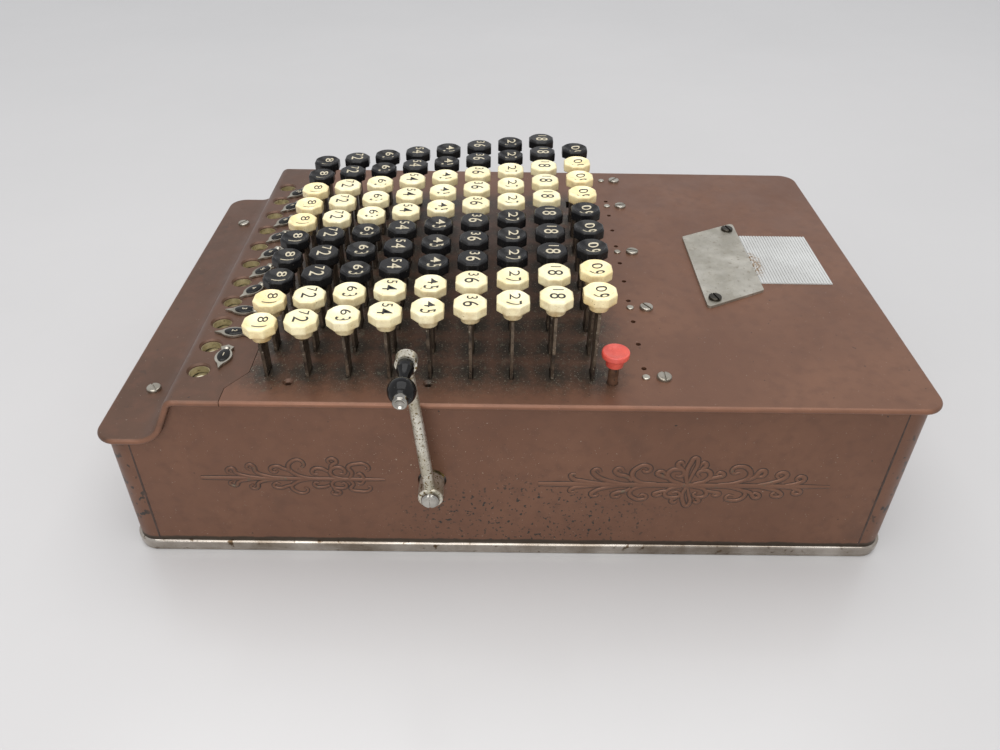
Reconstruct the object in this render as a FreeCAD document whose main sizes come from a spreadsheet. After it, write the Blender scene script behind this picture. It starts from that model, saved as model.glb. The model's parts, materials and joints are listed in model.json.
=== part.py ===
# Key-driven adding machine: ten columns of nine keys, an eleven-wheel register and a zeroing crank.
# Frame: +X is the operator's right, +Y the back, +Z up, origin on the table under the case's middle.
import FreeCAD, Part
import math
import os
import re
from types import SimpleNamespace

from FreeCAD import Placement, Rotation, Vector

# Driving dimensions, in millimetres and degrees.
SIZES = {
    # case
    "right_margin": 22.5, "left_margin": 29.5, "shelf_depth": 40.0, "rear_deck_depth": 149.6,
    "deck_height": 95.5, "shelf_height": 73.5,
    "cover_thickness": 3.0, "cover_edge_radius": 1.4, "cover_corner_radius": 10.0,
    "side_overhang": 4.0, "end_overhang": 2.0, "wall": 1.6, "wall_corner_radius": 10.0,
    "wrap_length": 12.0, "panel_gap": 0.15, "base_thickness": 2.0,
    "moulding_height": 6.5, "moulding_proud": 1.4, "moulding_ledge": 1.5, "moulding_foot": 1.4,
    "moulding_round": 1.2,
    # slope between the deck and the front shelf, and the seam behind it
    "slope_angle": 65.0, "slope_top_radius": 5.0, "slope_foot_radius": 12.0,
    "seam_setback": 28.0, "seam_side_setback": 20.0, "seam_side_length": 9.5, "seam_slant": 12.0,
    "seam_gap": 0.3,
    # register
    "wheel_count": 11, "window_diameter": 9.0, "window_bevel": 0.8, "window_setback": 5.4,
    "wheel_radius": 11.0, "wheel_width": 11.0, "wheel_bore": 6.0, "wheel_gap": 1.8,
    "wheel_hub_radius": 5.0, "wheel_rim": 2.0, "wheel_web": 3.0,
    # keyboard
    "column_count": 10, "key_count": 9, "column_pitch": 19.0, "key_pitch": 17.8,
    "first_key_setback": 36.0, "first_key_rise": 26.5, "key_step": 2.15,
    "cap_diameter": 14.8, "cap_flats": 13.8, "cap_height": 5.0, "cap_chamfer": 0.9,
    "cap_dish_depth": 0.9, "collar_diameter": 8.8, "collar_foot_diameter": 8.0,
    "collar_height": 4.0, "stem_width": 8.0, "stem_thickness": 1.4, "stem_head_width": 10.5,
    "stem_shoulder_rise": 14.0, "stem_tang_width": 4.0, "stem_socket": 3.0, "stem_clearance": 0.3,
    # mechanism
    "lever_angle_per_digit": 0.82, "lever_shaft_setback": 218.0, "lever_top": 50.0, "lever_depth": 12.0,
    "lever_thickness": 2.0, "lever_front_setback": 8.0, "lever_shaft_diameter": 7.0,
    "lever_hub_diameter": 13.0,
    "guide_height": 66.0, "guide_thickness": 2.0, "guide_spare_key_count": 3, "key_rest_gap": 0.5,
    "spring_bore": 8.8, "spring_wire": 0.6, "spring_length": 11.0,
    "frame_right_gap": 13.0, "frame_left_gap": 11.5, "frame_thickness": 2.0,
    "frame_front_margin": 7.4, "frame_back_margin": 20.0, "frame_top_gap": 1.0, "frame_notch_margin": 3.0,
    "tie_rod_diameter": 6.0, "tie_rod_height": 14.0, "tie_rod_inset": 12.0,
    "running_clearance": 0.05,
    # zeroing crank
    "crank_setback": 71.5, "crank_height": 48.0, "crank_shaft_diameter": 7.0, "crank_hub_diameter": 11.4,
    "crank_hub_gap": 0.6, "crank_arm_reach": 9.3, "crank_length": 74.0, "crank_lean": 5.4,
    "arm_foot_diameter": 5.6, "arm_tip_diameter": 4.6, "eye_diameter": 9.0, "eye_thickness": 4.8,
    "crank_hole_diameter": 13.0, "bush_diameter": 11.0, "crank_head_diameter": 8.4,
    "crank_head_height": 2.2, "crank_head_round_share": 0.6, "crank_slot_share": 0.45,
    "crank_hub_round_share": 0.2, "grip_collar_radius": 3.5, "grip_waist_share": 0.3,
    "grip_neck_radius": 1.9, "grip_ball_radius": 5.65, "grip_ball_x": 16.5, "grip_pin_radius": 1.2,
    "ferrule_radius": 3.0, "ferrule_length": 3.2, "ferrule_round_share": 0.3, "ferrule_dimple_share": 0.75,
    "link_radius": 12.0, "link_angle": -120.0, "link_width": 6.0, "link_thickness": 2.0,
    "link_pin_diameter": 3.0, "link_gap": 0.4, "link_clearance": 1.0, "link_boss_wall": 2.0,
    # decimal pointers
    "pointer_setback": 14.0, "pointer_tip": 9.5, "pointer_tail": 8.3, "pointer_half_width": 3.7,
    "pointer_thickness": 1.0, "pointer_gap": 0.3, "pointer_dome_radius": 1.7,
    "pointer_pin_diameter": 2.0, "pointer_belly_share": 0.08, "pointer_dome_share": 0.62,
    "pointer_dome_sink_share": 0.4, "pointer_shoulder_share": 0.62, "pointer_shoulder_width_share": 0.35,
    "pointer_waist_share": 0.5, "pointer_waist_width_share": 0.55, "pointer_horn_share": 0.8,
    "pointer_horn_width_share": 0.8,
    # release key
    "release_offset": 5.5, "release_setback": 8.4, "release_rise": 16.8, "release_diameter": 12.0,
    "release_height": 3.4, "release_collar_diameter": 8.0, "release_collar_height": 4.0,
    "release_stem_diameter": 4.6, "release_travel": 5.0, "release_dish": 0.7, "release_dish_share": 0.8,
    "release_foot_share": 0.93, "release_collar_foot_share": 0.85,
    # fittings on the deck
    "screw_head_diameter": 6.6, "screw_head_height": 1.5, "screw_shank_diameter": 3.0,
    "screw_slot": 0.9, "screw_round_share": 0.45, "screw_turn_angle": 35, "screw_grip": 3.0,
    "deck_screw_setback": 31.6, "deck_screw_column_count": 3, "deck_screw_count": 4,
    "deck_screw_offset": 1.8, "last_deck_screw_margin": 13.5, "apron_screw_margin": 36.4,
    "apron_screw_setback": 16.0, "rivet_setback": 23.6, "rivet_diameter": 3.6, "rivet_height": 0.8,
    "rivet_round_share": 0.6,
    "rivet_hole_offset": 4.9, "rivet_hole_diameter": 2.4,
    "sunk_hole_diameter": 2.6, "sunk_hole_rim": 5.0, "sunk_hole_depth": 1.2,
    "sunk_hole_offset": 7.9, "front_sunk_setback": 10.2, "rear_sunk_setback": 70.7,
    "plate_depth": 32.0, "plate_length": 74.2, "plate_skew": 17.2, "plate_thickness": 1.3,
    "plate_offset": 2.1, "plate_setback": 78.1, "plate_corner_radius": 1.5, "plate_screw_inset": 5.0,
    "pad_width": 51.8, "pad_length": 37.4, "pad_thickness": 0.7, "pad_offset": 7.6, "pad_setback": 113.4,
    "pad_rib_count": 24, "pad_rib_height": 0.35, "pad_rib_share": 0.6,
    "panel_screw_inset": 14.0, "panel_screw_low": 14.0, "panel_screw_high": 54.0,
}

doc = FreeCAD.newDocument("AddingMachine")
sheet = doc.addObject("Spreadsheet::Sheet", "Sizes")
for row, (alias, size) in enumerate(SIZES.items(), start=1):
    sheet.set(f"A{row}", alias)
    sheet.set(f"B{row}", str(size))
    sheet.setAlias(f"B{row}", alias)
doc.recompute()
V = SimpleNamespace(**{alias: float(sheet.get(alias)) for alias in SIZES})
parts = {}


def derive():
    """Places and overall sizes from the sheet: the case is as wide and deep as its keyboard asks."""
    bank = (V.key_count - 1) * V.key_pitch
    V.case_width = (V.wheel_count - 1) * V.column_pitch + V.right_margin + V.left_margin
    V.case_depth = V.shelf_depth + V.first_key_setback + bank + V.rear_deck_depth
    V.slope_top_y = V.shelf_depth - V.case_depth / 2
    V.seam_y = V.slope_top_y + V.seam_setback
    V.seam_side_y = V.slope_top_y + V.seam_side_setback
    V.wheel_y = V.slope_top_y + V.window_setback
    V.pointer_y = V.slope_top_y + V.pointer_setback
    V.first_key_y = V.slope_top_y + V.first_key_setback
    V.last_key_y = V.first_key_y + bank
    V.first_column_x = V.case_width / 2 - V.right_margin
    V.last_column_x = V.left_margin - V.case_width / 2
    V.lever_shaft_y = V.first_key_y + V.lever_shaft_setback
    V.lever_front_y = V.first_key_y + V.lever_front_setback
    V.frame_right_x = V.first_column_x + V.frame_right_gap
    V.frame_left_x = V.last_column_x - V.frame_left_gap
    V.frame_front_y = V.wheel_y - V.frame_front_margin
    V.frame_back_y = V.lever_shaft_y + V.frame_back_margin
    V.crank_y = V.first_key_y + V.crank_setback
    V.crank_arm_x = V.case_width / 2 - V.side_overhang + V.crank_arm_reach
    V.release_x = V.first_column_x + V.release_offset
    V.release_y = V.last_key_y + V.release_setback
    V.deck_screw_x = V.first_column_x + V.deck_screw_offset
    V.deck_screw_y = V.last_key_y + V.deck_screw_setback
    V.deck_screw_spacing = V.deck_screw_column_count * V.column_pitch
    V.last_deck_screw_x = V.last_deck_screw_margin - V.case_width / 2
    V.rivet_y = V.last_key_y + V.rivet_setback
    V.apron_screw_x = V.case_width / 2 - V.apron_screw_margin
    V.apron_screw_y = V.apron_screw_setback - V.case_depth / 2
    V.sunk_hole_x = V.first_column_x + V.sunk_hole_offset
    V.plate_x = -V.plate_offset
    V.plate_y = V.last_key_y + V.plate_setback
    V.pad_x = -V.pad_offset
    V.pad_y = V.last_key_y + V.pad_setback


derive()


# Helpers that bind document objects to the sheet

def bound(text):
    """An expression with each driving dimension pointed at its cell, and each derived place as its value."""
    def term(match):
        name = match[0]
        return f"Sizes.{name}" if name in SIZES else f"({getattr(V, name)})"
    return re.sub(r"[a-z][a-z0-9_]+", term, text)


def place(item, x, y, z, rotation=None):
    if rotation is not None:
        item.Placement = Placement(Vector(), rotation)
    for axis, text in zip("xyz", (x, y, z)):
        item.setExpression(f"Placement.Base.{axis}", bound(text))
    return item


def box(name, corner, size):
    item = doc.addObject("Part::Box", name)
    for key, text in zip(("Length", "Width", "Height"), size):
        item.setExpression(key, bound(text))
    return place(item, *corner)


ALONG_X = Rotation(Vector(0, 1, 0), 90)


def rod(name, start, diameter, length, rotation=None):
    """A cylinder that starts at a point and runs along +Z, or along the rotated axis."""
    item = doc.addObject("Part::Cylinder", name)
    item.setExpression("Radius", bound(f"({diameter}) / 2"))
    item.setExpression("Height", bound(length))
    return place(item, *start, rotation)


def cut(name, base, *tools):
    group = tools[0]
    if len(tools) > 1:
        group = doc.addObject("Part::MultiFuse", name + "_tools")
        group.Shapes = list(tools)
    item = doc.addObject("Part::Cut", name)
    item.Base, item.Tool = base, group
    return item


def shaped(name, shape):
    """A document object for a shape made with Part's own functions."""
    item = doc.addObject("Part::Feature", name)
    item.Shape = shape
    return item


def node(label, item):
    item.Label = label
    parts[label] = item
    return item


# How far a cutting tool reaches past the face it cuts, and how near counts as touching.
OVERCUT = 1.0
NEAR = 1e-6
ON_OUTLINE = 1e-4
CAP_SIDES = 8


# Shared layout

def column_x(column):
    """Columns count from 1 at the operator's right."""
    return V.first_column_x - (column - 1) * V.column_pitch


def key_y(digit):
    return V.first_key_y + (digit - 1) * V.key_pitch


def cap_top(digit):
    return V.deck_height + V.first_key_rise + (digit - 1) * V.key_step


def key_travel(digit):
    """A key nearer the lever's shaft turns it further for the same stroke, so each row has its own travel."""
    reach = V.lever_shaft_y - key_y(digit)
    return digit * math.radians(V.lever_angle_per_digit) * reach


MISSING_KEY = (10, 9)


def key_exists(column, digit):
    """One key of the farthest column is lost, as column and digit."""
    return (column, digit) != MISSING_KEY


COLUMNS = range(1, int(V.column_count) + 1)
DIGITS = range(1, int(V.key_count) + 1)
WHEELS = range(1, int(V.wheel_count) + 1)
COVER_UNDER = V.deck_height - V.cover_thickness
SHELF_UNDER = V.shelf_height - V.cover_thickness
WALL_X = V.case_width / 2 - V.side_overhang
WALL_Y = V.case_depth / 2 - V.end_overhang
WHEEL_Z = COVER_UNDER - V.wheel_gap - V.wheel_radius
LEVER_Z = V.lever_top - V.lever_depth / 2


def slope_edges(offset):
    """The curve from the deck down to the shelf, as edges in the YZ plane set in by offset."""
    turn = math.radians(V.slope_angle)
    crest = Vector(0, V.slope_top_y, V.deck_height - V.slope_top_radius)
    outer, inner = V.slope_top_radius - offset, V.slope_foot_radius + offset
    drop = V.deck_height - V.shelf_height
    straight = drop - (V.slope_top_radius + V.slope_foot_radius) * (1 - math.cos(turn))
    run = straight / math.tan(turn) + (V.slope_top_radius + V.slope_foot_radius) * math.sin(turn)
    foot = Vector(0, V.slope_top_y - run, V.shelf_height + V.slope_foot_radius)

    def on_crest(angle):
        return crest + Vector(0, -outer * math.sin(angle), outer * math.cos(angle))

    def on_foot(angle):
        return foot + Vector(0, inner * math.sin(angle), -inner * math.cos(angle))

    return [
        Part.Arc(on_crest(0), on_crest(turn / 2), on_crest(turn)).toShape(),
        Part.LineSegment(on_crest(turn), on_foot(turn)).toShape(),
        Part.Arc(on_foot(turn), on_foot(turn / 2), on_foot(0)).toShape(),
    ]


def line(a, b):
    return Part.LineSegment(a, b).toShape()


def face_of(edges):
    return Part.Face(Part.Wire(Part.__sortEdges__(edges)))


def outline_face(points):
    return Part.Face(Part.makePolygon(points + points[:1]))


def rounded_slab(half_x, y0, y1, z0, z1, radius):
    """A slab with its four upright edges rounded."""
    slab = Part.makeBox(2 * half_x, y1 - y0, z1 - z0, Vector(-half_x, y0, z0))
    upright = [e for e in slab.Edges if abs(e.Vertexes[0].Z - e.Vertexes[1].Z) > NEAR]
    return slab.makeFillet(radius, upright)


# Covers

def cover_blank():
    """Both covers before the seam parts them: one even sheet, dropping to the shelf at the front."""
    half = V.case_width / 2
    front, back = -V.case_depth / 2, V.case_depth / 2
    top, under = slope_edges(0), slope_edges(V.cover_thickness)
    crest_y, foot_y = V.slope_top_y, top[2].Vertexes[1].Y
    edges = top + under + [
        line(Vector(0, back, V.deck_height), Vector(0, crest_y, V.deck_height)),
        line(Vector(0, foot_y, V.shelf_height), Vector(0, front, V.shelf_height)),
        line(Vector(0, front, V.shelf_height), Vector(0, front, SHELF_UNDER)),
        line(Vector(0, front, SHELF_UNDER), Vector(0, foot_y, SHELF_UNDER)),
        line(Vector(0, crest_y, COVER_UNDER), Vector(0, back, COVER_UNDER)),
        line(Vector(0, back, COVER_UNDER), Vector(0, back, V.deck_height)),
    ]
    sheet_solid = face_of(edges).extrude(Vector(2 * half, 0, 0))
    sheet_solid.translate(Vector(-half, 0, 0))
    outline = rounded_slab(half, front, back, 0, V.deck_height + OVERCUT, V.cover_corner_radius)
    blank = sheet_solid.common(outline)
    rim = [e for e in blank.Edges if on_rim(e, half, front, back) and not upright(e)]
    return blank.makeFillet(V.cover_edge_radius, rim)


def upright(edge):
    a, b = edge.Vertexes[0].Point, edge.Vertexes[-1].Point
    return abs(a.x - b.x) < NEAR and abs(a.y - b.y) < NEAR


def on_rim(edge, half, front, back):
    """Whether both ends of an edge lie on the covers' outline, corners included."""
    def outside(p):
        corner_x, corner_y = half - V.cover_corner_radius, back - V.cover_corner_radius
        if abs(p.x) > corner_x and abs(p.y) > corner_y:
            reach = math.hypot(abs(p.x) - corner_x, abs(p.y) - corner_y)
            return abs(reach - V.cover_corner_radius) < ON_OUTLINE
        return abs(abs(p.x) - half) < ON_OUTLINE or abs(abs(p.y) - back) < ON_OUTLINE
    middle = edge.valueAt((edge.FirstParameter + edge.LastParameter) / 2)
    return all(outside(p) for p in [v.Point for v in edge.Vertexes] + [middle])


def seam_points(shift):
    """The seam between the covers in plan: straight across, stepping forward near each side."""
    half = V.case_width / 2 + OVERCUT
    step_x = V.case_width / 2 - V.seam_side_length
    right = [Vector(half, V.seam_side_y + shift, 0), Vector(step_x, V.seam_side_y + shift, 0),
             Vector(step_x - V.seam_slant, V.seam_y + shift, 0)]
    return right + [Vector(-p.x, p.y, 0) for p in reversed(right)]


def behind_seam(shift):
    far = V.case_depth
    points = seam_points(shift) + [Vector(-V.case_width, V.seam_side_y + shift, 0)]
    points += [Vector(-V.case_width, far, 0), Vector(V.case_width, far, 0)]
    points += [Vector(V.case_width, V.seam_side_y + shift, 0)]
    return outline_face(points).extrude(Vector(0, 0, V.deck_height + OVERCUT))


def deck_screws():
    spots = [(V.deck_screw_x - i * V.deck_screw_spacing, V.deck_screw_y)
             for i in range(int(V.deck_screw_count))]
    return spots + [(V.last_deck_screw_x, V.deck_screw_y)]


def sunk_holes():
    setbacks = (V.front_sunk_setback, V.rear_sunk_setback)
    return [(V.sunk_hole_x, V.first_key_y + setback) for setback in setbacks]


def rivets():
    return [(x, V.rivet_y) for x, _ in deck_screws()]


def pointer_x(number):
    """Pointers stand between neighbouring windows."""
    return column_x(number) - V.column_pitch / 2


POINTERS = range(1, int(V.wheel_count))


def upright_hole(x, y, diameter):
    return Part.makeCylinder(diameter / 2, V.deck_height, Vector(x, y, SHELF_UNDER - OVERCUT))


def build_covers():
    blank = cover_blank()
    register = blank.cut(behind_seam(-V.seam_gap))
    deck = blank.common(behind_seam(0))
    # windows with a bevelled lip over each numeral wheel
    holes = []
    for wheel in WHEELS:
        centre = Vector(column_x(wheel), V.wheel_y, 0)
        holes.append(upright_hole(centre.x, centre.y, V.window_diameter))
        lip = Part.makeCone(V.window_diameter / 2, V.window_diameter / 2 + V.window_bevel,
                            V.window_bevel, centre + Vector(0, 0, V.deck_height - V.window_bevel))
        holes.append(lip)
    for side in (-1, 1):
        holes.append(upright_hole(side * V.apron_screw_x, V.apron_screw_y, V.screw_shank_diameter))
    for number in POINTERS:
        holes.append(upright_hole(pointer_x(number), V.pointer_y, V.pointer_pin_diameter))
    node("register_cover", shaped("RegisterCover", register.cut(Part.Compound(holes))))

    # slots for the key stems, and the round holes behind the keyboard
    slots = []
    wide = V.stem_width + 2 * V.stem_clearance
    deep = V.stem_thickness + 2 * V.stem_clearance
    for column in COLUMNS:
        for digit in DIGITS:
            corner = Vector(column_x(column) - wide / 2, key_y(digit) - deep / 2, COVER_UNDER - OVERCUT)
            slots.append(Part.makeBox(wide, deep, V.cover_thickness + 2 * OVERCUT, corner))
        slots.append(upright_hole(column_x(column) - V.rivet_hole_offset, V.rivet_y, V.rivet_hole_diameter))
    release_hole = V.release_stem_diameter + 2 * V.stem_clearance
    slots.append(upright_hole(V.release_x, V.release_y, release_hole))
    for x, y in deck_screws() + plate_screws():
        slots.append(upright_hole(x, y, V.screw_shank_diameter))
    for x, y in rivets():
        slots.append(upright_hole(x, y, V.rivet_diameter / 2))
    for x, y in sunk_holes():
        slots.append(upright_hole(x, y, V.sunk_hole_diameter))
        slots.append(Part.makeCone(V.sunk_hole_diameter / 2, V.sunk_hole_rim / 2, V.sunk_hole_depth,
                                   Vector(x, y, V.deck_height - V.sunk_hole_depth)))
    node("keyboard_cover", shaped("KeyboardCover", deck.cut(Part.Compound(slots))))


# Walls and base

def side_wall_face():
    """A side panel's outline: up to the covers' underside, following the slope at the front."""
    front, back = -WALL_Y + V.wrap_length + V.panel_gap, WALL_Y - V.wrap_length - V.panel_gap
    curve = slope_edges(V.cover_thickness)
    crest_y, foot_y = V.slope_top_y, curve[2].Vertexes[1].Y
    low = V.moulding_height
    return face_of(curve + [
        line(Vector(0, front, low), Vector(0, back, low)),
        line(Vector(0, back, low), Vector(0, back, COVER_UNDER)),
        line(Vector(0, back, COVER_UNDER), Vector(0, crest_y, COVER_UNDER)),
        line(Vector(0, foot_y, SHELF_UNDER), Vector(0, front, SHELF_UNDER)),
        line(Vector(0, front, SHELF_UNDER), Vector(0, front, low)),
    ])


def build_walls():
    right = side_wall_face().extrude(Vector(V.wall, 0, 0))
    right.translate(Vector(WALL_X - V.wall, 0, 0))
    left = right.mirror(Vector(), Vector(1, 0, 0))
    crank_hole = x_rod(WALL_X - V.wall - OVERCUT, V.crank_y, V.crank_height, V.crank_hole_diameter,
                       V.wall + 2 * OVERCUT)
    node("right_side_panel", shaped("RightSidePanel", right.cut(crank_hole)))
    node("left_side_panel", shaped("LeftSidePanel", left))

    # the end walls wrap round the corners on to the sides
    for label, end, top in (("front_panel", -1, SHELF_UNDER), ("back_panel", 1, COVER_UNDER)):
        outer = rounded_slab(WALL_X, -WALL_Y, WALL_Y, V.moulding_height, top, V.wall_corner_radius)
        inner = rounded_slab(WALL_X - V.wall, -WALL_Y + V.wall, WALL_Y - V.wall, V.moulding_height - OVERCUT,
                             top + OVERCUT, V.wall_corner_radius - V.wall)
        near = WALL_Y - V.wrap_length
        keep_depth = V.wrap_length + OVERCUT
        keep = Part.makeBox(V.case_width, keep_depth, V.deck_height,
                            Vector(-V.case_width / 2, near if end > 0 else -near - keep_depth, 0))
        shell = outer.cut(inner).common(keep)
        holes = [Part.makeCylinder(V.screw_shank_diameter / 2, V.wall + 2 * OVERCUT,
                                   Vector(x, end * (WALL_Y + OVERCUT), z), Vector(0, -end, 0))
                 for x, z in panel_screws()]
        node(label, shaped(label.title().replace("_", ""), shell.cut(Part.Compound(holes))))


def panel_screws():
    """Screws through the end walls, as (x, z)."""
    x = WALL_X - V.panel_screw_inset
    return [(side * x, z) for side in (-1, 1) for z in (V.panel_screw_low, V.panel_screw_high)]


def build_base():
    inner_x, inner_y = WALL_X - V.wall - V.moulding_ledge, WALL_Y - V.wall - V.moulding_ledge
    plate = box("BasePlate", (f"-{inner_x}", f"-{inner_y}", "0"),
                (f"2 * {inner_x}", f"2 * {inner_y}", "base_thickness"))
    node("base_plate", plate)
    outer_x, outer_y = WALL_X + V.moulding_proud, WALL_Y + V.moulding_proud
    radius = V.wall_corner_radius + V.moulding_proud
    bead = rounded_slab(outer_x, -outer_y, outer_y, V.moulding_foot, V.moulding_height, radius)
    rim = [e for e in bead.Edges if abs(e.Vertexes[0].Z - e.Vertexes[-1].Z) < NEAR]
    bead = bead.makeFillet(V.moulding_round, rim)
    foot_in = V.moulding_round / 2
    foot = rounded_slab(outer_x - foot_in, -outer_y + foot_in, outer_y - foot_in, 0,
                        V.moulding_foot + V.moulding_round, radius - foot_in)
    hollow = Part.makeBox(2 * inner_x, 2 * inner_y, V.moulding_height + 2 * OVERCUT,
                          Vector(-inner_x, -inner_y, -OVERCUT))
    node("base_moulding", shaped("BaseMoulding", bead.fuse(foot).cut(hollow)))


# Screws, rivets, name plate and ribbed pad

def slotted_screw(spot, axis, turn):
    """A slotted screw whose head sits on spot and whose shank runs back along the axis."""
    head = Part.makeCylinder(V.screw_head_diameter / 2, V.screw_head_height)
    head = head.makeFillet(V.screw_head_height * V.screw_round_share, [head.Edges[0]])
    slot = Part.makeBox(V.screw_head_diameter + 2 * OVERCUT, V.screw_slot, V.screw_head_height,
                        Vector(-V.screw_head_diameter / 2 - OVERCUT, -V.screw_slot / 2,
                               V.screw_head_height / 2))
    shank = Part.makeCylinder(V.screw_shank_diameter / 2, V.screw_grip, Vector(0, 0, -V.screw_grip))
    screw = head.cut(slot).fuse(shank)
    spin = Rotation(Vector(0, 0, 1), turn)
    screw.Placement = Placement(Vector(*spot), Rotation(Vector(0, 0, 1), Vector(*axis)) * spin)
    return screw


def plate_corners():
    """The rhomboid plate in plan, counter-clockwise from its front left corner."""
    x, y, lean = V.plate_length / 2, V.plate_depth / 2, V.plate_skew / 2
    return [(V.plate_x - x + lean, V.plate_y - y), (V.plate_x + x + lean, V.plate_y - y),
            (V.plate_x + x - lean, V.plate_y + y), (V.plate_x - x - lean, V.plate_y + y)]


def plate_screws():
    """One screw near each sharp corner, set in square from the two edges."""
    (right, front), (left, back) = plate_corners()[1], plate_corners()[3]
    slant = V.plate_skew / V.plate_depth
    along = V.plate_screw_inset * (slant + math.hypot(1, slant))
    return [(right - along, front + V.plate_screw_inset), (left + along, back - V.plate_screw_inset)]


def build_fittings():
    screws = [slotted_screw((x, y, V.deck_height), (0, 0, 1), V.screw_turn_angle * i)
              for i, (x, y) in enumerate(deck_screws())]
    screws += [slotted_screw((side * V.apron_screw_x, V.apron_screw_y, V.shelf_height), (0, 0, 1),
                             V.screw_turn_angle * side)
               for side in (-1, 1)]
    screws += [slotted_screw((x, y, V.deck_height + V.plate_thickness), (0, 0, 1), V.screw_turn_angle / 2)
               for x, y in plate_screws()]
    screws += [slotted_screw((x, end * WALL_Y, z), (0, end, 0), V.screw_turn_angle)
               for end in (-1, 1) for x, z in panel_screws()]
    node("case_screws", shaped("CaseScrews", Part.Compound(screws)))

    studs = []
    for x, y in rivets():
        dome = Part.makeCylinder(V.rivet_diameter / 2, V.rivet_height, Vector(x, y, V.deck_height))
        dome = dome.makeFillet(V.rivet_height * V.rivet_round_share, [dome.Edges[0]])
        shank = Part.makeCylinder(V.rivet_diameter / 4, V.cover_thickness, Vector(x, y, COVER_UNDER))
        studs.append(dome.fuse(shank))
    node("deck_rivets", shaped("DeckRivets", Part.Compound(studs)))

    plate = outline_face([Vector(x, y, V.deck_height) for x, y in plate_corners()])
    plate = plate.extrude(Vector(0, 0, V.plate_thickness))
    plate = plate.makeFillet(V.plate_corner_radius, [e for e in plate.Edges if upright(e)])
    for x, y in plate_screws():
        plate = plate.cut(upright_hole(x, y, V.screw_shank_diameter))
    node("name_plate", shaped("NamePlate", plate))

    # the pad's ribs run across the case
    pad = Part.makeBox(V.pad_width, V.pad_length, V.pad_thickness - V.pad_rib_height)
    rib_pitch = V.pad_length / V.pad_rib_count
    ribs = [Part.makeBox(V.pad_width, rib_pitch * V.pad_rib_share, V.pad_rib_height,
                         Vector(0, (i + (1 - V.pad_rib_share) / 2) * rib_pitch,
                                V.pad_thickness - V.pad_rib_height))
            for i in range(int(V.pad_rib_count))]
    pad = pad.fuse(ribs).removeSplitter()
    pad.translate(Vector(V.pad_x - V.pad_width / 2, V.pad_y - V.pad_length / 2, V.deck_height))
    node("ribbed_pad", shaped("RibbedPad", pad))


# Keys

def cap_shape(dished):
    """A moulded eight-sided cap on a round collar, its base at z 0. Odd digits have a dished top."""
    low, high = V.collar_height, V.collar_height + V.cap_height
    turned = Part.makeCylinder(V.cap_diameter / 2, V.cap_height, Vector(0, 0, low))
    turned = turned.makeChamfer(V.cap_chamfer, turned.Edges[0:1] + turned.Edges[2:3])
    apothem = V.cap_flats / 2
    half_turn = math.pi / CAP_SIDES
    corner = apothem / math.cos(half_turn)
    angles = [half_turn * (2 * k + 1) for k in range(CAP_SIDES)]
    sides = outline_face([Vector(corner * math.cos(a), corner * math.sin(a), low) for a in angles])
    cap = turned.common(sides.extrude(Vector(0, 0, V.cap_height)))
    if dished:
        rim = V.cap_flats / 2 - V.cap_chamfer
        ball = (rim ** 2 + V.cap_dish_depth ** 2) / (2 * V.cap_dish_depth)
        cap = cap.cut(Part.makeSphere(ball, Vector(0, 0, high + ball - V.cap_dish_depth)))
    collar = Part.makeCone(V.collar_foot_diameter / 2, V.collar_diameter / 2, V.collar_height)
    return cap.fuse(collar).removeSplitter()


def key_shapes(column, digit, caps):
    """A cap and its flat stem as two solids: the stem widens above a shoulder, and a tang enters the cap."""
    base = cap_top(digit) - V.cap_height - V.collar_height
    foot = V.lever_top + V.key_rest_gap + key_travel(digit)
    x, y = column_x(column), key_y(digit)
    shoulder = V.deck_height + V.stem_shoulder_rise

    def strip(width, low, high):
        return Part.makeBox(width, V.stem_thickness, high - low,
                            Vector(x - width / 2, y - V.stem_thickness / 2, low))

    tang = strip(V.stem_tang_width, base, base + V.stem_socket)
    stem = strip(V.stem_width, foot, shoulder)
    stem = stem.fuse([strip(V.stem_head_width, shoulder, base), tang]).removeSplitter()
    cap = caps[digit % 2].copy()
    cap.translate(Vector(x, y, base))
    return [cap.cut(tang), stem]


def build_keys():
    caps = {1: cap_shape(True), 0: cap_shape(False)}
    for digit in DIGITS:
        node(f"units_key_{digit}", shaped(f"UnitsKey{digit}", Part.Compound(key_shapes(1, digit, caps))))
        row = [piece for column in COLUMNS if column > 1 and key_exists(column, digit)
               for piece in key_shapes(column, digit, caps)]
        node(f"key_row_{digit}", shaped(f"KeyRow{digit}", Part.Compound(row)))


def build_release_key():
    top = V.deck_height + V.release_rise
    cap_low = top - V.release_height
    collar_low = cap_low - V.release_collar_height
    r, c = V.release_diameter / 2, V.release_collar_diameter / 2
    cap = Part.makeCone(r * V.release_foot_share, r, V.release_height,
                        Vector(V.release_x, V.release_y, cap_low))
    ball = (r ** 2 * V.release_dish_share + V.release_dish ** 2) / (2 * V.release_dish)
    cap = cap.cut(Part.makeSphere(ball, Vector(V.release_x, V.release_y, top + ball - V.release_dish)))
    collar = Part.makeCone(c * V.release_collar_foot_share, c, V.release_collar_height,
                           Vector(V.release_x, V.release_y, collar_low))
    socket = Part.makeCylinder(V.release_stem_diameter / 2, V.release_collar_height,
                               Vector(V.release_x, V.release_y, collar_low))
    node("release_key_cap", shaped("ReleaseKeyCap", cap.fuse(collar).removeSplitter().cut(socket)))
    foot = V.guide_height + V.guide_thickness + V.release_travel + V.key_rest_gap
    stem = rod("ReleaseKeyStem", ("release_x", "release_y", str(foot)), "release_stem_diameter",
               str(collar_low + V.release_collar_height - foot))
    node("release_key_stem", stem)


# Register

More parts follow.
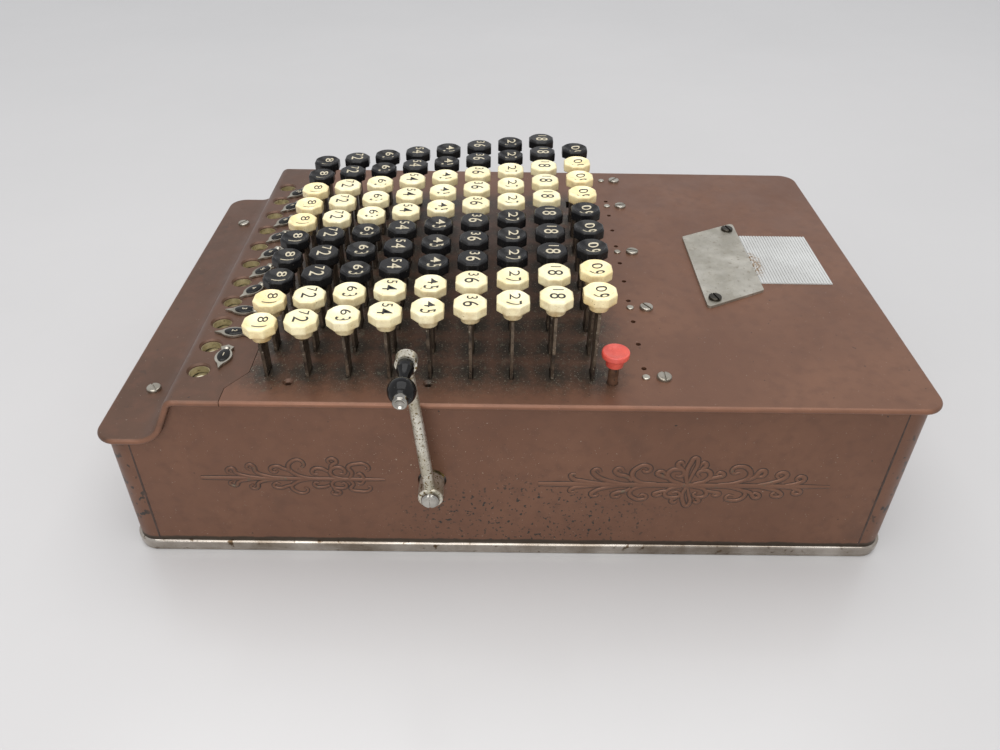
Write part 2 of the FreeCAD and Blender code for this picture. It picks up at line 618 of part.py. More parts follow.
def build_register():
    length = V.frame_right_x - V.frame_left_x + V.frame_thickness
    shaft = rod("WheelShaft", ("frame_left_x", "wheel_y", str(WHEEL_Z)), "wheel_bore", str(length), ALONG_X)
    node("wheel_shaft", shaft)
    wheels = []
    bore_length = V.wheel_width + OVERCUT
    for wheel in WHEELS:
        x = column_x(wheel)

        def disc(radius, width):
            return x_rod(x - width / 2, V.wheel_y, WHEEL_Z, 2 * radius, width)

        rim = disc(V.wheel_radius, V.wheel_width).cut(disc(V.wheel_radius - V.wheel_rim, bore_length))
        web = disc(V.wheel_radius - V.wheel_rim / 2, V.wheel_web)
        hub = disc(V.wheel_hub_radius, V.wheel_width)
        wheels.append(rim.fuse([web, hub]).removeSplitter().cut(disc(V.wheel_bore / 2, bore_length)))
    node("numeral_wheels", shaped("NumeralWheels", Part.Compound(wheels)))


# Zeroing crank with its inner arm, link and wheel-shaft arm: a parallelogram

LINK_OUT_X = V.frame_right_x - V.link_gap
ARM_IN_X = LINK_OUT_X - V.link_thickness
LINK_IN_X = ARM_IN_X - V.link_gap - V.link_thickness


def link_pin(y, z):
    """The pin's place at the end of a zeroing arm on the shaft at (y, z)."""
    turn = math.radians(V.link_angle)
    return y + V.link_radius * math.cos(turn), z + V.link_radius * math.sin(turn)


def flat_bar(x, thickness, a, b, width):
    """A flat bar with round ends from a to b, both (y, z), lying at x."""
    along = Vector(0, b[0] - a[0], b[1] - a[1])
    side = Vector(0, -along.z, along.y).normalize() * (width / 2)
    pa, pb = Vector(x, *a), Vector(x, *b)
    tip_a, tip_b = pa - along.normalize() * (width / 2), pb + along * (width / 2)
    return face_of([line(pa + side, pb + side), Part.Arc(pb + side, tip_b, pb - side).toShape(),
                    line(pb - side, pa - side), Part.Arc(pa - side, tip_a, pa + side).toShape(),
                    ]).extrude(Vector(thickness, 0, 0))


def x_rod(x, y, z, diameter, length):
    return Part.makeCylinder(diameter / 2, length, Vector(x, y, z), Vector(1, 0, 0))


def zeroing_arm(y, z, bore):
    """An arm keyed to a shaft, with the link's pin standing out of its inner face."""
    pin_y, pin_z = link_pin(y, z)
    arm = flat_bar(ARM_IN_X, V.link_thickness, (y, z), (pin_y, pin_z), V.link_width)
    boss = x_rod(ARM_IN_X, y, z, bore + 2 * V.link_boss_wall, V.link_thickness)
    pin_length = V.link_gap + V.link_thickness + V.link_gap
    pin = x_rod(ARM_IN_X - pin_length, pin_y, pin_z, V.link_pin_diameter, pin_length + V.link_thickness / 2)
    hole = x_rod(ARM_IN_X - OVERCUT, y, z, bore, V.link_thickness + 2 * OVERCUT)
    return arm.fuse([boss, pin]).cut(hole).removeSplitter()


def outer_edge(piece):
    return max(piece.Edges, key=lambda edge: edge.CenterOfMass.x)


def build_crank():
    y, z = V.crank_y, V.crank_height
    shaft = x_rod(ARM_IN_X, y, z, V.crank_shaft_diameter, V.crank_arm_x - ARM_IN_X)
    keyed = zeroing_arm(y, z, V.crank_shaft_diameter)
    node("crank_shaft", shaped("CrankShaft", shaft.fuse(keyed).removeSplitter()))
    node("wheel_zeroing_arm", shaped("WheelZeroingArm", zeroing_arm(V.wheel_y, WHEEL_Z, V.wheel_bore)))
    ends = [link_pin(y, z), link_pin(V.wheel_y, WHEEL_Z)]
    link = flat_bar(LINK_IN_X, V.link_thickness, *ends, V.link_width)
    bore = V.link_pin_diameter + 2 * V.running_clearance
    for end in ends:
        link = link.cut(x_rod(LINK_IN_X - OVERCUT, *end, bore, V.link_thickness + 2 * OVERCUT))
    node("zeroing_link", shaped("ZeroingLink", link))

    bush = rod("CrankBushBody", ("frame_right_x", "crank_y", "crank_height"), "bush_diameter",
               "frame_thickness", ALONG_X)
    bush_bore = rod("CrankBushBore", (f"frame_right_x - {OVERCUT}", "crank_y", "crank_height"),
                    "crank_shaft_diameter + 2 * running_clearance",
                    f"frame_thickness + {2 * OVERCUT}", ALONG_X)
    node("crank_bush", cut("CrankBush", bush, bush_bore))

    # the arm leans towards the operator and tapers from its hub to the eye that carries the grip
    lean = math.radians(V.crank_lean)
    eye_y, eye_z = y - V.crank_length * math.sin(lean), z + V.crank_length * math.cos(lean)
    hub_start = WALL_X + V.crank_hub_gap
    outer = V.crank_arm_x + V.arm_foot_diameter / 2
    hub = x_rod(hub_start, y, z, V.crank_hub_diameter, outer - hub_start)
    hub = hub.makeFillet(V.eye_thickness * V.crank_hub_round_share, [hub.Edges[0]])
    along = Vector(0, eye_y - y, eye_z - z)
    taper = Part.makeCone(V.arm_foot_diameter / 2, V.arm_tip_diameter / 2, V.crank_length,
                          Vector(V.crank_arm_x, y, z), along)
    eye = x_rod(V.crank_arm_x - V.eye_thickness / 2, eye_y, eye_z, V.eye_diameter, V.eye_thickness)
    arm = hub.fuse([taper, eye])
    arm = arm.cut(x_rod(hub_start - OVERCUT, y, z, V.crank_shaft_diameter,
                        V.crank_arm_x - hub_start + OVERCUT))
    arm = arm.cut(x_rod(V.crank_arm_x - OVERCUT, y, z, V.screw_shank_diameter,
                        V.eye_thickness + 2 * OVERCUT))
    arm = arm.cut(x_rod(V.crank_arm_x - V.eye_thickness, eye_y, eye_z, 2 * V.grip_pin_radius,
                        2 * V.eye_thickness))
    node("crank_arm", shaped("CrankArm", arm.removeSplitter()))

    head = x_rod(outer, y, z, V.crank_head_diameter, V.crank_head_height)
    head = head.makeFillet(V.crank_head_height * V.crank_head_round_share, [outer_edge(head)])
    slot = Part.makeBox(V.crank_head_height, V.screw_slot, V.crank_head_diameter + 2 * OVERCUT,
                        Vector(outer + V.crank_head_height * V.crank_slot_share, y - V.screw_slot / 2,
                               z - V.crank_head_diameter / 2 - OVERCUT))
    shank = x_rod(V.crank_arm_x, y, z, V.screw_shank_diameter, outer - V.crank_arm_x)
    node("crank_screw", shaped("CrankScrew", head.cut(slot).fuse(shank)))

    # turned grip: collar, waisted neck and ball, on a pin whose head shows as a ferrule
    face = V.crank_arm_x + V.eye_thickness / 2
    ball = Vector(V.grip_ball_x, 0, 0)
    r, p = V.grip_ball_radius, V.grip_pin_radius
    neck_x = V.grip_ball_x - math.sqrt(r ** 2 - V.grip_neck_radius ** 2)
    end_r = V.ferrule_radius
    end_x = V.grip_ball_x + math.sqrt(r ** 2 - end_r ** 2)
    collar_end = Vector(V.grip_collar_radius, V.grip_collar_radius, 0)
    neck = Vector(neck_x, V.grip_neck_radius, 0)
    waist_rise = (V.grip_collar_radius - V.grip_neck_radius) * V.grip_waist_share
    waist = Vector((collar_end.x + neck.x) / 2, V.grip_neck_radius + waist_rise, 0)
    profile = [
        line(Vector(0, p, 0), Vector(0, V.grip_collar_radius, 0)),
        line(Vector(0, V.grip_collar_radius, 0), collar_end),
        Part.Arc(collar_end, waist, neck).toShape(),
        Part.Arc(neck, ball + Vector(0, r, 0), Vector(end_x, end_r, 0)).toShape(),
        line(Vector(end_x, end_r, 0), Vector(end_x, p, 0)),
        line(Vector(end_x, p, 0), Vector(0, p, 0)),
    ]
    grip = face_of(profile).revolve(Vector(), Vector(1, 0, 0), 360)
    grip.translate(Vector(face, eye_y, eye_z))
    node("crank_grip", shaped("CrankGrip", grip))
    pin_start = V.crank_arm_x - V.eye_thickness / 2
    pin = x_rod(pin_start, eye_y, eye_z, 2 * p, face + end_x - pin_start)
    cap = x_rod(face + end_x, eye_y, eye_z, 2 * end_r, V.ferrule_length)
    cap = cap.makeFillet(V.ferrule_length * V.ferrule_round_share, [outer_edge(cap)])
    dimple_x = face + end_x + V.ferrule_length + end_r * V.ferrule_dimple_share
    dimple = Part.makeSphere(end_r, Vector(dimple_x, eye_y, eye_z))
    node("grip_pin", shaped("GripPin", cap.cut(dimple).fuse(pin)))


# Frame, guide plate, levers and springs

def build_mechanism():
    top = f"{COVER_UNDER} - frame_top_gap"
    shaft_bore = "wheel_bore + 2 * running_clearance"
    through = f"frame_thickness + {2 * OVERCUT}"
    tie_rod_places = {"Front": "frame_front_y + tie_rod_inset", "Back": "frame_back_y - tie_rod_inset"}
    for label, x, crank in (("frame_plate_right", "frame_right_x", True),
                            ("frame_plate_left", "frame_left_x", False)):
        name = label.title().replace("_", "")
        plate = box(name + "Blank", (x, "frame_front_y", "base_thickness"),
                    ("frame_thickness", "frame_back_y - frame_front_y",
                     f"{top} - base_thickness"))
        start = f"{x} - {OVERCUT}"
        notch = box(name + "Notch", (start, f"frame_front_y - {OVERCUT}", f"{WHEEL_Z + V.wheel_bore}"),
                    (through, "slope_top_y - frame_front_y + frame_notch_margin", "deck_height"))
        holes = [notch,
                 rod(name + "WheelBore", (start, "wheel_y", str(WHEEL_Z)), shaft_bore, through, ALONG_X),
                 rod(name + "LeverBore", (start, "lever_shaft_y", str(LEVER_Z)), "lever_shaft_diameter",
                     through, ALONG_X)]
        for end, y in tie_rod_places.items():
            holes.append(rod(name + end + "Rod", (start, y, "tie_rod_height"),
                             "tie_rod_diameter", through, ALONG_X))
        if crank:
            holes.append(rod(name + "BushHole", (start, "crank_y", "crank_height"), "bush_diameter",
                             through, ALONG_X))
        node(label, cut(name, plate, *holes))

    span = "frame_right_x - frame_left_x + frame_thickness"
    rods = [rod(f"TieRod{end}", ("frame_left_x", y, "tie_rod_height"), "tie_rod_diameter", span, ALONG_X)
            for end, y in tie_rod_places.items()]
    ties = doc.addObject("Part::Compound", "TieRods")
    ties.Links = rods
    node("frame_tie_rods", ties)
    node("lever_shaft", rod("LeverShaft", ("frame_left_x", "lever_shaft_y", str(LEVER_Z)),
                            "lever_shaft_diameter", span, ALONG_X))

    # the guide plate keeps the lower ends of the stems upright
    low_x = V.frame_left_x + V.frame_thickness
    guide_depth = V.last_key_y - V.first_key_y + V.guide_spare_key_count * V.key_pitch
    guide = Part.makeBox(V.frame_right_x - low_x, guide_depth, V.guide_thickness,
                         Vector(low_x, key_y(1) - V.key_pitch / 2, V.guide_height))
    slot_height, slot_low = V.guide_thickness + 2 * OVERCUT, V.guide_height - OVERCUT
    wide, deep = V.stem_width + 2 * V.stem_clearance, V.stem_thickness + 2 * V.stem_clearance
    slots = [Part.makeBox(wide, deep, slot_height,
                          Vector(column_x(c) - wide / 2, key_y(d) - deep / 2, slot_low))
             for c in COLUMNS for d in DIGITS]
    # the plate is narrower in front, where the zeroing link swings past it
    past = LINK_IN_X - V.link_gap - V.link_clearance
    front = key_y(1) - V.key_pitch
    swing = V.crank_y + V.link_radius + V.link_width - front
    slots.append(Part.makeBox(V.frame_right_x - past + OVERCUT, swing, slot_height,
                              Vector(past, front, slot_low)))
    node("key_guide_plate", shaped("KeyGuidePlate", guide.cut(Part.Compound(slots))))

    # each key's return spring stands on the guide plate round its stem, drawn as a plain sleeve
    springs = []
    bore = V.spring_bore / 2
    for c in COLUMNS:
        for d in DIGITS:
            if key_exists(c, d):
                foot = Vector(column_x(c), key_y(d), V.guide_height + V.guide_thickness)
                sleeve = Part.makeCylinder(bore + V.spring_wire, V.spring_length, foot)
                springs.append(sleeve.cut(Part.makeCylinder(bore, V.spring_length, foot)))
    node("key_springs", shaped("KeySprings", Part.Compound(springs)))

    # column levers, one under each column of keys
    levers = []
    hub = V.lever_hub_diameter
    for c in COLUMNS:
        x = column_x(c) - V.lever_thickness / 2
        low = V.lever_top - V.lever_depth
        bar = outline_face([Vector(x, V.lever_front_y, LEVER_Z), Vector(x, V.lever_front_y, V.lever_top),
                            Vector(x, V.lever_shaft_y, V.lever_top), Vector(x, V.lever_shaft_y, low)])
        lever = bar.extrude(Vector(V.lever_thickness, 0, 0)).fuse(
            x_rod(x, V.lever_shaft_y, LEVER_Z, hub, V.lever_thickness)).removeSplitter()
        levers.append(lever.cut(x_rod(x - OVERCUT, V.lever_shaft_y, LEVER_Z,
                                      V.lever_shaft_diameter + 2 * V.running_clearance,
                                      V.lever_thickness + 2 * OVERCUT)))
    node("column_levers", shaped("ColumnLevers", Part.Compound(levers)))


# Decimal pointers

# How far each pointer is turned at rest, in degrees.
POINTER_TURNS = {1: 90, 2: 0, 3: 0}
USUAL_POINTER_TURN = 55


def pointer_shape():
    """A pointed shield with a waisted tail and a finger dome: pivot at the origin, tip towards -Y."""
    w, tip, tail = V.pointer_half_width, V.pointer_tip, V.pointer_tail
    shoulder = Vector(w * V.pointer_shoulder_width_share, -tip * V.pointer_shoulder_share, 0)
    waist = Vector(w * V.pointer_waist_width_share, tail * V.pointer_waist_share, 0)
    horn = Vector(w * V.pointer_horn_width_share, tail * V.pointer_horn_share, 0)
    end = Vector(0, tail, 0)
    half = [line(Vector(0, -tip, 0), shoulder),
            Part.Arc(shoulder, Vector(w, -tip * V.pointer_belly_share, 0), waist).toShape(),
            line(waist, horn), line(horn, end)]
    other = [e.mirror(Vector(), Vector(1, 0, 0)) for e in half]
    plate = face_of(half + other).extrude(Vector(0, 0, V.pointer_thickness))
    dome_spot = Vector(0, tail * V.pointer_dome_share, V.pointer_thickness * V.pointer_dome_sink_share)
    dome = Part.makeSphere(V.pointer_dome_radius, dome_spot)
    reach = tail + V.pointer_dome_radius
    dome = dome.common(Part.makeBox(2 * reach, 2 * reach, reach, Vector(-reach, -reach, 0)))
    pivot = V.pointer_pin_diameter + 2 * V.running_clearance
    hole = Part.makeCylinder(pivot / 2, V.pointer_thickness + 2 * OVERCUT, Vector(0, 0, -OVERCUT))
    return plate.fuse(dome).removeSplitter().cut(hole)


def build_pointers():
    pins = []
    for number in POINTERS:
        pointer = pointer_shape()
        spot = Vector(pointer_x(number), V.pointer_y, V.deck_height + V.pointer_gap)
        turn = POINTER_TURNS.get(number, USUAL_POINTER_TURN)
        pointer.Placement = Placement(spot, Rotation(Vector(0, 0, 1), turn))
        node(f"decimal_pointer_{number}", shaped(f"DecimalPointer{number}", pointer))
        pin_length = V.cover_thickness + V.pointer_gap + V.pointer_thickness
        pins.append(Part.makeCylinder(V.pointer_pin_diameter / 2, pin_length,
                                      Vector(spot.x, spot.y, COVER_UNDER)))
    node("pointer_pivots", shaped("PointerPivots", Part.Compound(pins)))


build_base()
build_walls()
build_covers()
build_fittings()
build_keys()
build_release_key()
build_register()
build_crank()
build_mechanism()
build_pointers()
doc.recompute()

for item in doc.Objects:
    if {"Invalid", "Error"} & set(item.State):
        raise RuntimeError(f"{item.Label} failed: {item.State}")
for label, item in parts.items():
    if item.Shape.isNull() or not item.Shape.isValid():
        raise RuntimeError(f"{label} has no valid shape")

os.makedirs("parts", exist_ok=True)
for label, item in parts.items():
    item.Shape.exportStep(f"parts/{label}.step")
print(len(parts), "sub-parts; key travel", [round(key_travel(d), 2) for d in DIGITS])
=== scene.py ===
import json
import math

import bpy
from mathutils import Matrix, Vector


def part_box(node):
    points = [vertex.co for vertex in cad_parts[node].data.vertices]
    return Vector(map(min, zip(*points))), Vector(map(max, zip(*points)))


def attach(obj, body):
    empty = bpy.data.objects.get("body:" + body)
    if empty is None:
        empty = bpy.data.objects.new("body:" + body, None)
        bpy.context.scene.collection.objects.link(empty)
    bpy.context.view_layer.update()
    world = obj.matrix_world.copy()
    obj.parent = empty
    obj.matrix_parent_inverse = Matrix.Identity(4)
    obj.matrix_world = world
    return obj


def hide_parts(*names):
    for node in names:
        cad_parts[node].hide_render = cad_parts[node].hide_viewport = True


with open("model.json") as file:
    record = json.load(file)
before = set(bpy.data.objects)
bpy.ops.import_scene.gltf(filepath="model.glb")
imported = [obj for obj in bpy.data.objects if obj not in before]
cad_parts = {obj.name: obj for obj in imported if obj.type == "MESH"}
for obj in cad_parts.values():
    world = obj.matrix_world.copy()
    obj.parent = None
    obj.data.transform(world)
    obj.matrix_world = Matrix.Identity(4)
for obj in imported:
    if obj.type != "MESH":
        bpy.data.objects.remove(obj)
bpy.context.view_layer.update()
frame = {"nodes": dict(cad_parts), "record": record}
mm = 0.001
facing = 0.9  # a normal this far along Z counts as facing up or down
print("stage: frame")


def activate(obj):
    bpy.ops.object.select_all(action="DESELECT")
    obj.select_set(True)
    bpy.context.view_layer.objects.active = obj


def pickFaces(test):
    bpy.ops.mesh.select_mode(type="FACE")
    bpy.ops.mesh.select_all(action="DESELECT")
    bpy.ops.object.mode_set(mode="OBJECT")
    for face in bpy.context.object.data.polygons:
        face.select = test(face)
    bpy.ops.object.mode_set(mode="EDIT")


def facesUp(face):
    return face.normal.z > facing


def facesDown(face):
    return face.normal.z < -facing


def editOn(obj):
    activate(obj)
    bpy.ops.object.mode_set(mode="EDIT")


def editOff():
    bpy.ops.object.mode_set(mode="OBJECT")


def applyModifier(obj, kind, **settings):
    step = obj.modifiers.new("step", kind)
    for key, value in settings.items():
        setattr(step, key, value)
    activate(obj)
    bpy.ops.object.modifier_apply(modifier=step.name)


def softenEdges(obj, width, segments, angle):
    applyModifier(obj, "BEVEL", width=width * mm, segments=segments, limit_method="ANGLE",
                  angle_limit=math.radians(angle))


def smooth(obj, angle=35):
    activate(obj)
    bpy.ops.object.shade_smooth_by_angle(angle=math.radians(angle))


def joined(name, objs):
    activate(objs[0])
    for obj in objs:
        obj.select_set(True)
    if len(objs) > 1:
        bpy.ops.object.join()
    made = bpy.context.view_layer.objects.active
    made.name = name
    return made


def stamped(name, template, matrices):
    copies = []
    for matrix in matrices:
        copy = template.copy()
        copy.data = template.data.copy()
        copy.data.transform(matrix)
        bpy.context.scene.collection.objects.link(copy)
        copies.append(copy)
    return joined(name, copies)


def discard(*objs):
    for obj in objs:
        bpy.data.objects.remove(obj, do_unlink=True)


def settle(obj, body, slot, material, *nodes):
    obj.data.materials.clear()
    obj.data.materials.append(material)
    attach(obj, body)
    if nodes:
        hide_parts(*nodes)


white, black = (1, 1, 1), (0, 0, 0)
mixSockets = {"under": 6, "over": 7, "result": 2}
finish = {"patchDetail": 8.0, "patchSpan": (0.36, 0.66), "roughScale": 2.7, "roughDetail": 6.0,
          "roughSpan": (0.3, 0.7), "speckDetail": 3.0, "speckRough": 0.5,
          "dustRough": 0.6, "dustSpan": (0.25, 1.0),
          "zoneScale": 0.3, "zoneDetail": 5.0, "zoneRough": 0.7, "zoneSpan": (0.55, 1.0),
          "sideDetail": 6.0, "sideRough": 0.7, "sideSpan": (0.34, 1.0),
          "wearHighlightScale": 90, "wearHighlightDetail": 5.0, "wearHighlightSpan": (0.05, 0.75),
          "blurScale": 260, "blurDetail": 6.0, "blurRough": 0.7, "noiseMiddle": 0.5, "bumpDepth": 0.2}


def agedMaterial(name, look):
    material = bpy.data.materials.new(name)
    material.use_nodes = True
    nodes, links = material.node_tree.nodes, material.node_tree.links
    shader = nodes["Principled BSDF"]
    place = nodes.new("ShaderNodeTexCoord").outputs["Object"]

    def noise(scale, detail=4.0, rough=0.6):
        node = nodes.new("ShaderNodeTexNoise")
        node.inputs["Scale"].default_value = scale
        node.inputs["Detail"].default_value = detail
        node.inputs["Roughness"].default_value = rough
        links.new(place, node.inputs["Vector"])
        return node.outputs["Fac"]

    def ramp(source, span, lowColour=black, highColour=white):
        node = nodes.new("ShaderNodeValToRGB")
        first, last = node.color_ramp.elements
        first.position, last.position = span
        first.color, last.color = (*lowColour, 1), (*highColour, 1)
        links.new(source, node.inputs["Fac"])
        return node.outputs["Color"]

    def over(mask, under, colour):
        node = nodes.new("ShaderNodeMix")
        node.data_type = "RGBA"
        links.new(mask, node.inputs["Factor"])
        links.new(under, node.inputs[mixSockets["under"]])
        node.inputs[mixSockets["over"]].default_value = (*colour, 1)
        return node.outputs[mixSockets["result"]]

    def maths(operation, a, b=0.0):
        node = nodes.new("ShaderNodeMath")
        node.operation = operation
        for socket, value in zip(node.inputs, (a, b)):
            if isinstance(value, (int, float)):
                socket.default_value = value
            else:
                links.new(value, socket)
        return node.outputs[0]

    def axesOf(source):
        node = nodes.new("ShaderNodeSeparateXYZ")
        links.new(source, node.inputs[0])
        return node.outputs

    def length(a, b):
        return maths("SQRT", maths("ADD", maths("MULTIPLY", a, a), maths("MULTIPLY", b, b)))

    def ragged(scale, detail, rough):
        return maths("SUBTRACT", noise(scale, detail, rough), finish["noiseMiddle"])

    def specks(scale, span, rough=finish["speckRough"]):
        return ramp(noise(scale, finish["speckDetail"], rough), span)

    patches = noise(look["patch"], finish["patchDetail"])
    colour = ramp(patches, finish["patchSpan"], look["dark"], look["light"])
    rough = noise(look["patch"] * finish["roughScale"], finish["roughDetail"])
    for scale, low, high, tint in look.get("specks", ()):
        colour = over(specks(scale, (low, high)), colour, tint)
    for flat, centre, reach, speck, tint in look.get("zones", ()):
        axes = axesOf(place)
        gaps = [maths("DIVIDE", maths("SUBTRACT", axes[axis], middle * mm), half * mm)
                for axis, middle, half in zip(flat, centre, reach)]
        blur = ragged(speck[0] * finish["zoneScale"], finish["zoneDetail"], finish["zoneRough"])
        mask = ramp(maths("ADD", length(*gaps), blur), finish["zoneSpan"], white, black)
        if len(speck) > 1:
            mask = maths("MULTIPLY", mask, specks(speck[0], speck[1:]))
        colour = over(mask, colour, tint)
    # Darker and browner where the surface turns away from facing up, patchy by noise.
    if "sides" in look:
        scale, tint = look["sides"]
        normal = axesOf(nodes.new("ShaderNodeNewGeometry").outputs["Normal"])
        away = maths("SUBTRACT", 1.0, normal["Z"])
        sideDarkening = maths("MULTIPLY", away, noise(scale, finish["sideDetail"], finish["sideRough"]))
        colour = over(ramp(sideDarkening, finish["sideSpan"]), colour, tint)
    # Brighter copper along the rolled edges of the top, broken by noise: partly wear, partly a painted
    # highlight.
    if "edge" in look:
        axes = axesOf(place)
        sideReach = maths("SUBTRACT", maths("ABSOLUTE", axes["X"]), look["edgeX"])
        endReach = maths("SUBTRACT", maths("ABSOLUTE", axes["Y"]), look["edgeY"])
        wearAndHighlight = maths("MULTIPLY", maths("MAXIMUM", sideReach, endReach), 1.0 / look["edgeWidth"])
        wearAndHighlight = maths("MULTIPLY", wearAndHighlight, noise(finish["wearHighlightScale"], finish["wearHighlightDetail"]))
        colour = over(ramp(wearAndHighlight, finish["wearHighlightSpan"]), colour, look["edge"])
    # Darker round each key stem, fading between them: dirt and painted shade under the key caps, with pale
    # dust flecks near the stems.
    if "stems" in look:
        grid = look["stems"]
        axes = axesOf(place)
        gaps = []
        for axis, first, pitch, low, high in grid["axes"]:
            steps = maths("DIVIDE", maths("SUBTRACT", axes[axis], first), pitch)
            nearest = maths("MINIMUM", maths("MAXIMUM", maths("ROUND", steps), low), high)
            gaps.append(maths("MULTIPLY", maths("SUBTRACT", steps, nearest), pitch))
        blur = ragged(finish["blurScale"], finish["blurDetail"], finish["blurRough"])
        blur = maths("MULTIPLY", blur, grid["ragged"])
        spread = maths("MULTIPLY", maths("ADD", length(*gaps), blur), grid["fall"])
        for low, high, tint in grid["dirtShadeLayers"]:
            colour = over(ramp(spread, (low, high), white, black), colour, tint)
        for scale, low, high, tint in grid["dust"]:
            flecks = maths("MULTIPLY", specks(scale, (low, high), finish["dustRough"]),
                           ramp(spread, finish["dustSpan"], white, black))
            colour = over(flecks, colour, tint)
    links.new(colour, shader.inputs["Base Color"])
    span = nodes.new("ShaderNodeMapRange")
    span.inputs["From Min"].default_value, span.inputs["From Max"].default_value = finish["roughSpan"]
    span.inputs["To Min"].default_value, span.inputs["To Max"].default_value = look["rough"]
    links.new(rough, span.inputs["Value"])
    links.new(span.outputs[0], shader.inputs["Roughness"])
    shader.inputs["Metallic"].default_value = look.get("metal", 0.0)
    shader.inputs["Coat Weight"].default_value = look.get("coat", 0.0)
    shader.inputs["Specular IOR Level"].default_value = look.get("specular", 0.5)
    bump = nodes.new("ShaderNodeBump")
    bump.inputs["Strength"].default_value = look["bump"]
    bump.inputs["Distance"].default_value = finish["bumpDepth"] * mm
    links.new(noise(look["grain"]), bump.inputs["Height"])
    links.new(bump.outputs[0], shader.inputs["Normal"])
    return material


# Stained and darkened areas: the plane, the middle and reach in it, the specks' scale and span, and the tint.
sidePits = [("YZ", (8, 24), (75, 30), (520, 0.6, 0.65), (0.026, 0.024, 0.02)),
            ("YZ", (-30, 62), (60, 26), (1300, 0.7, 0.74), (0.55, 0.48, 0.36)),
            # A darker band round the foot of the panels, just above the base strip.
            ("YZ", (0, 6.5), (420, 2.6), (300,), (0.04, 0.028, 0.018)),
            ("XZ", (0, 6.5), (300, 2.6), (300,), (0.04, 0.028, 0.018)),
            ("YZ", (177, 46), (9, 44), (230, 0.6, 0.64), (0.03, 0.025, 0.02)),
            ("YZ", (-177, 40), (9, 36), (230, 0.6, 0.64), (0.03, 0.025, 0.02))]
plateScrews = [("XY", spot, (6, 6), (300,), (0.045, 0.04, 0.032))
               for spot in ((35.2, 101.5), (-39.4, 123.5))]
padStain = [("XY", (-1, 129.5), (14, 6), (800, 0.42, 0.58), (0.2, 0.125, 0.06))]
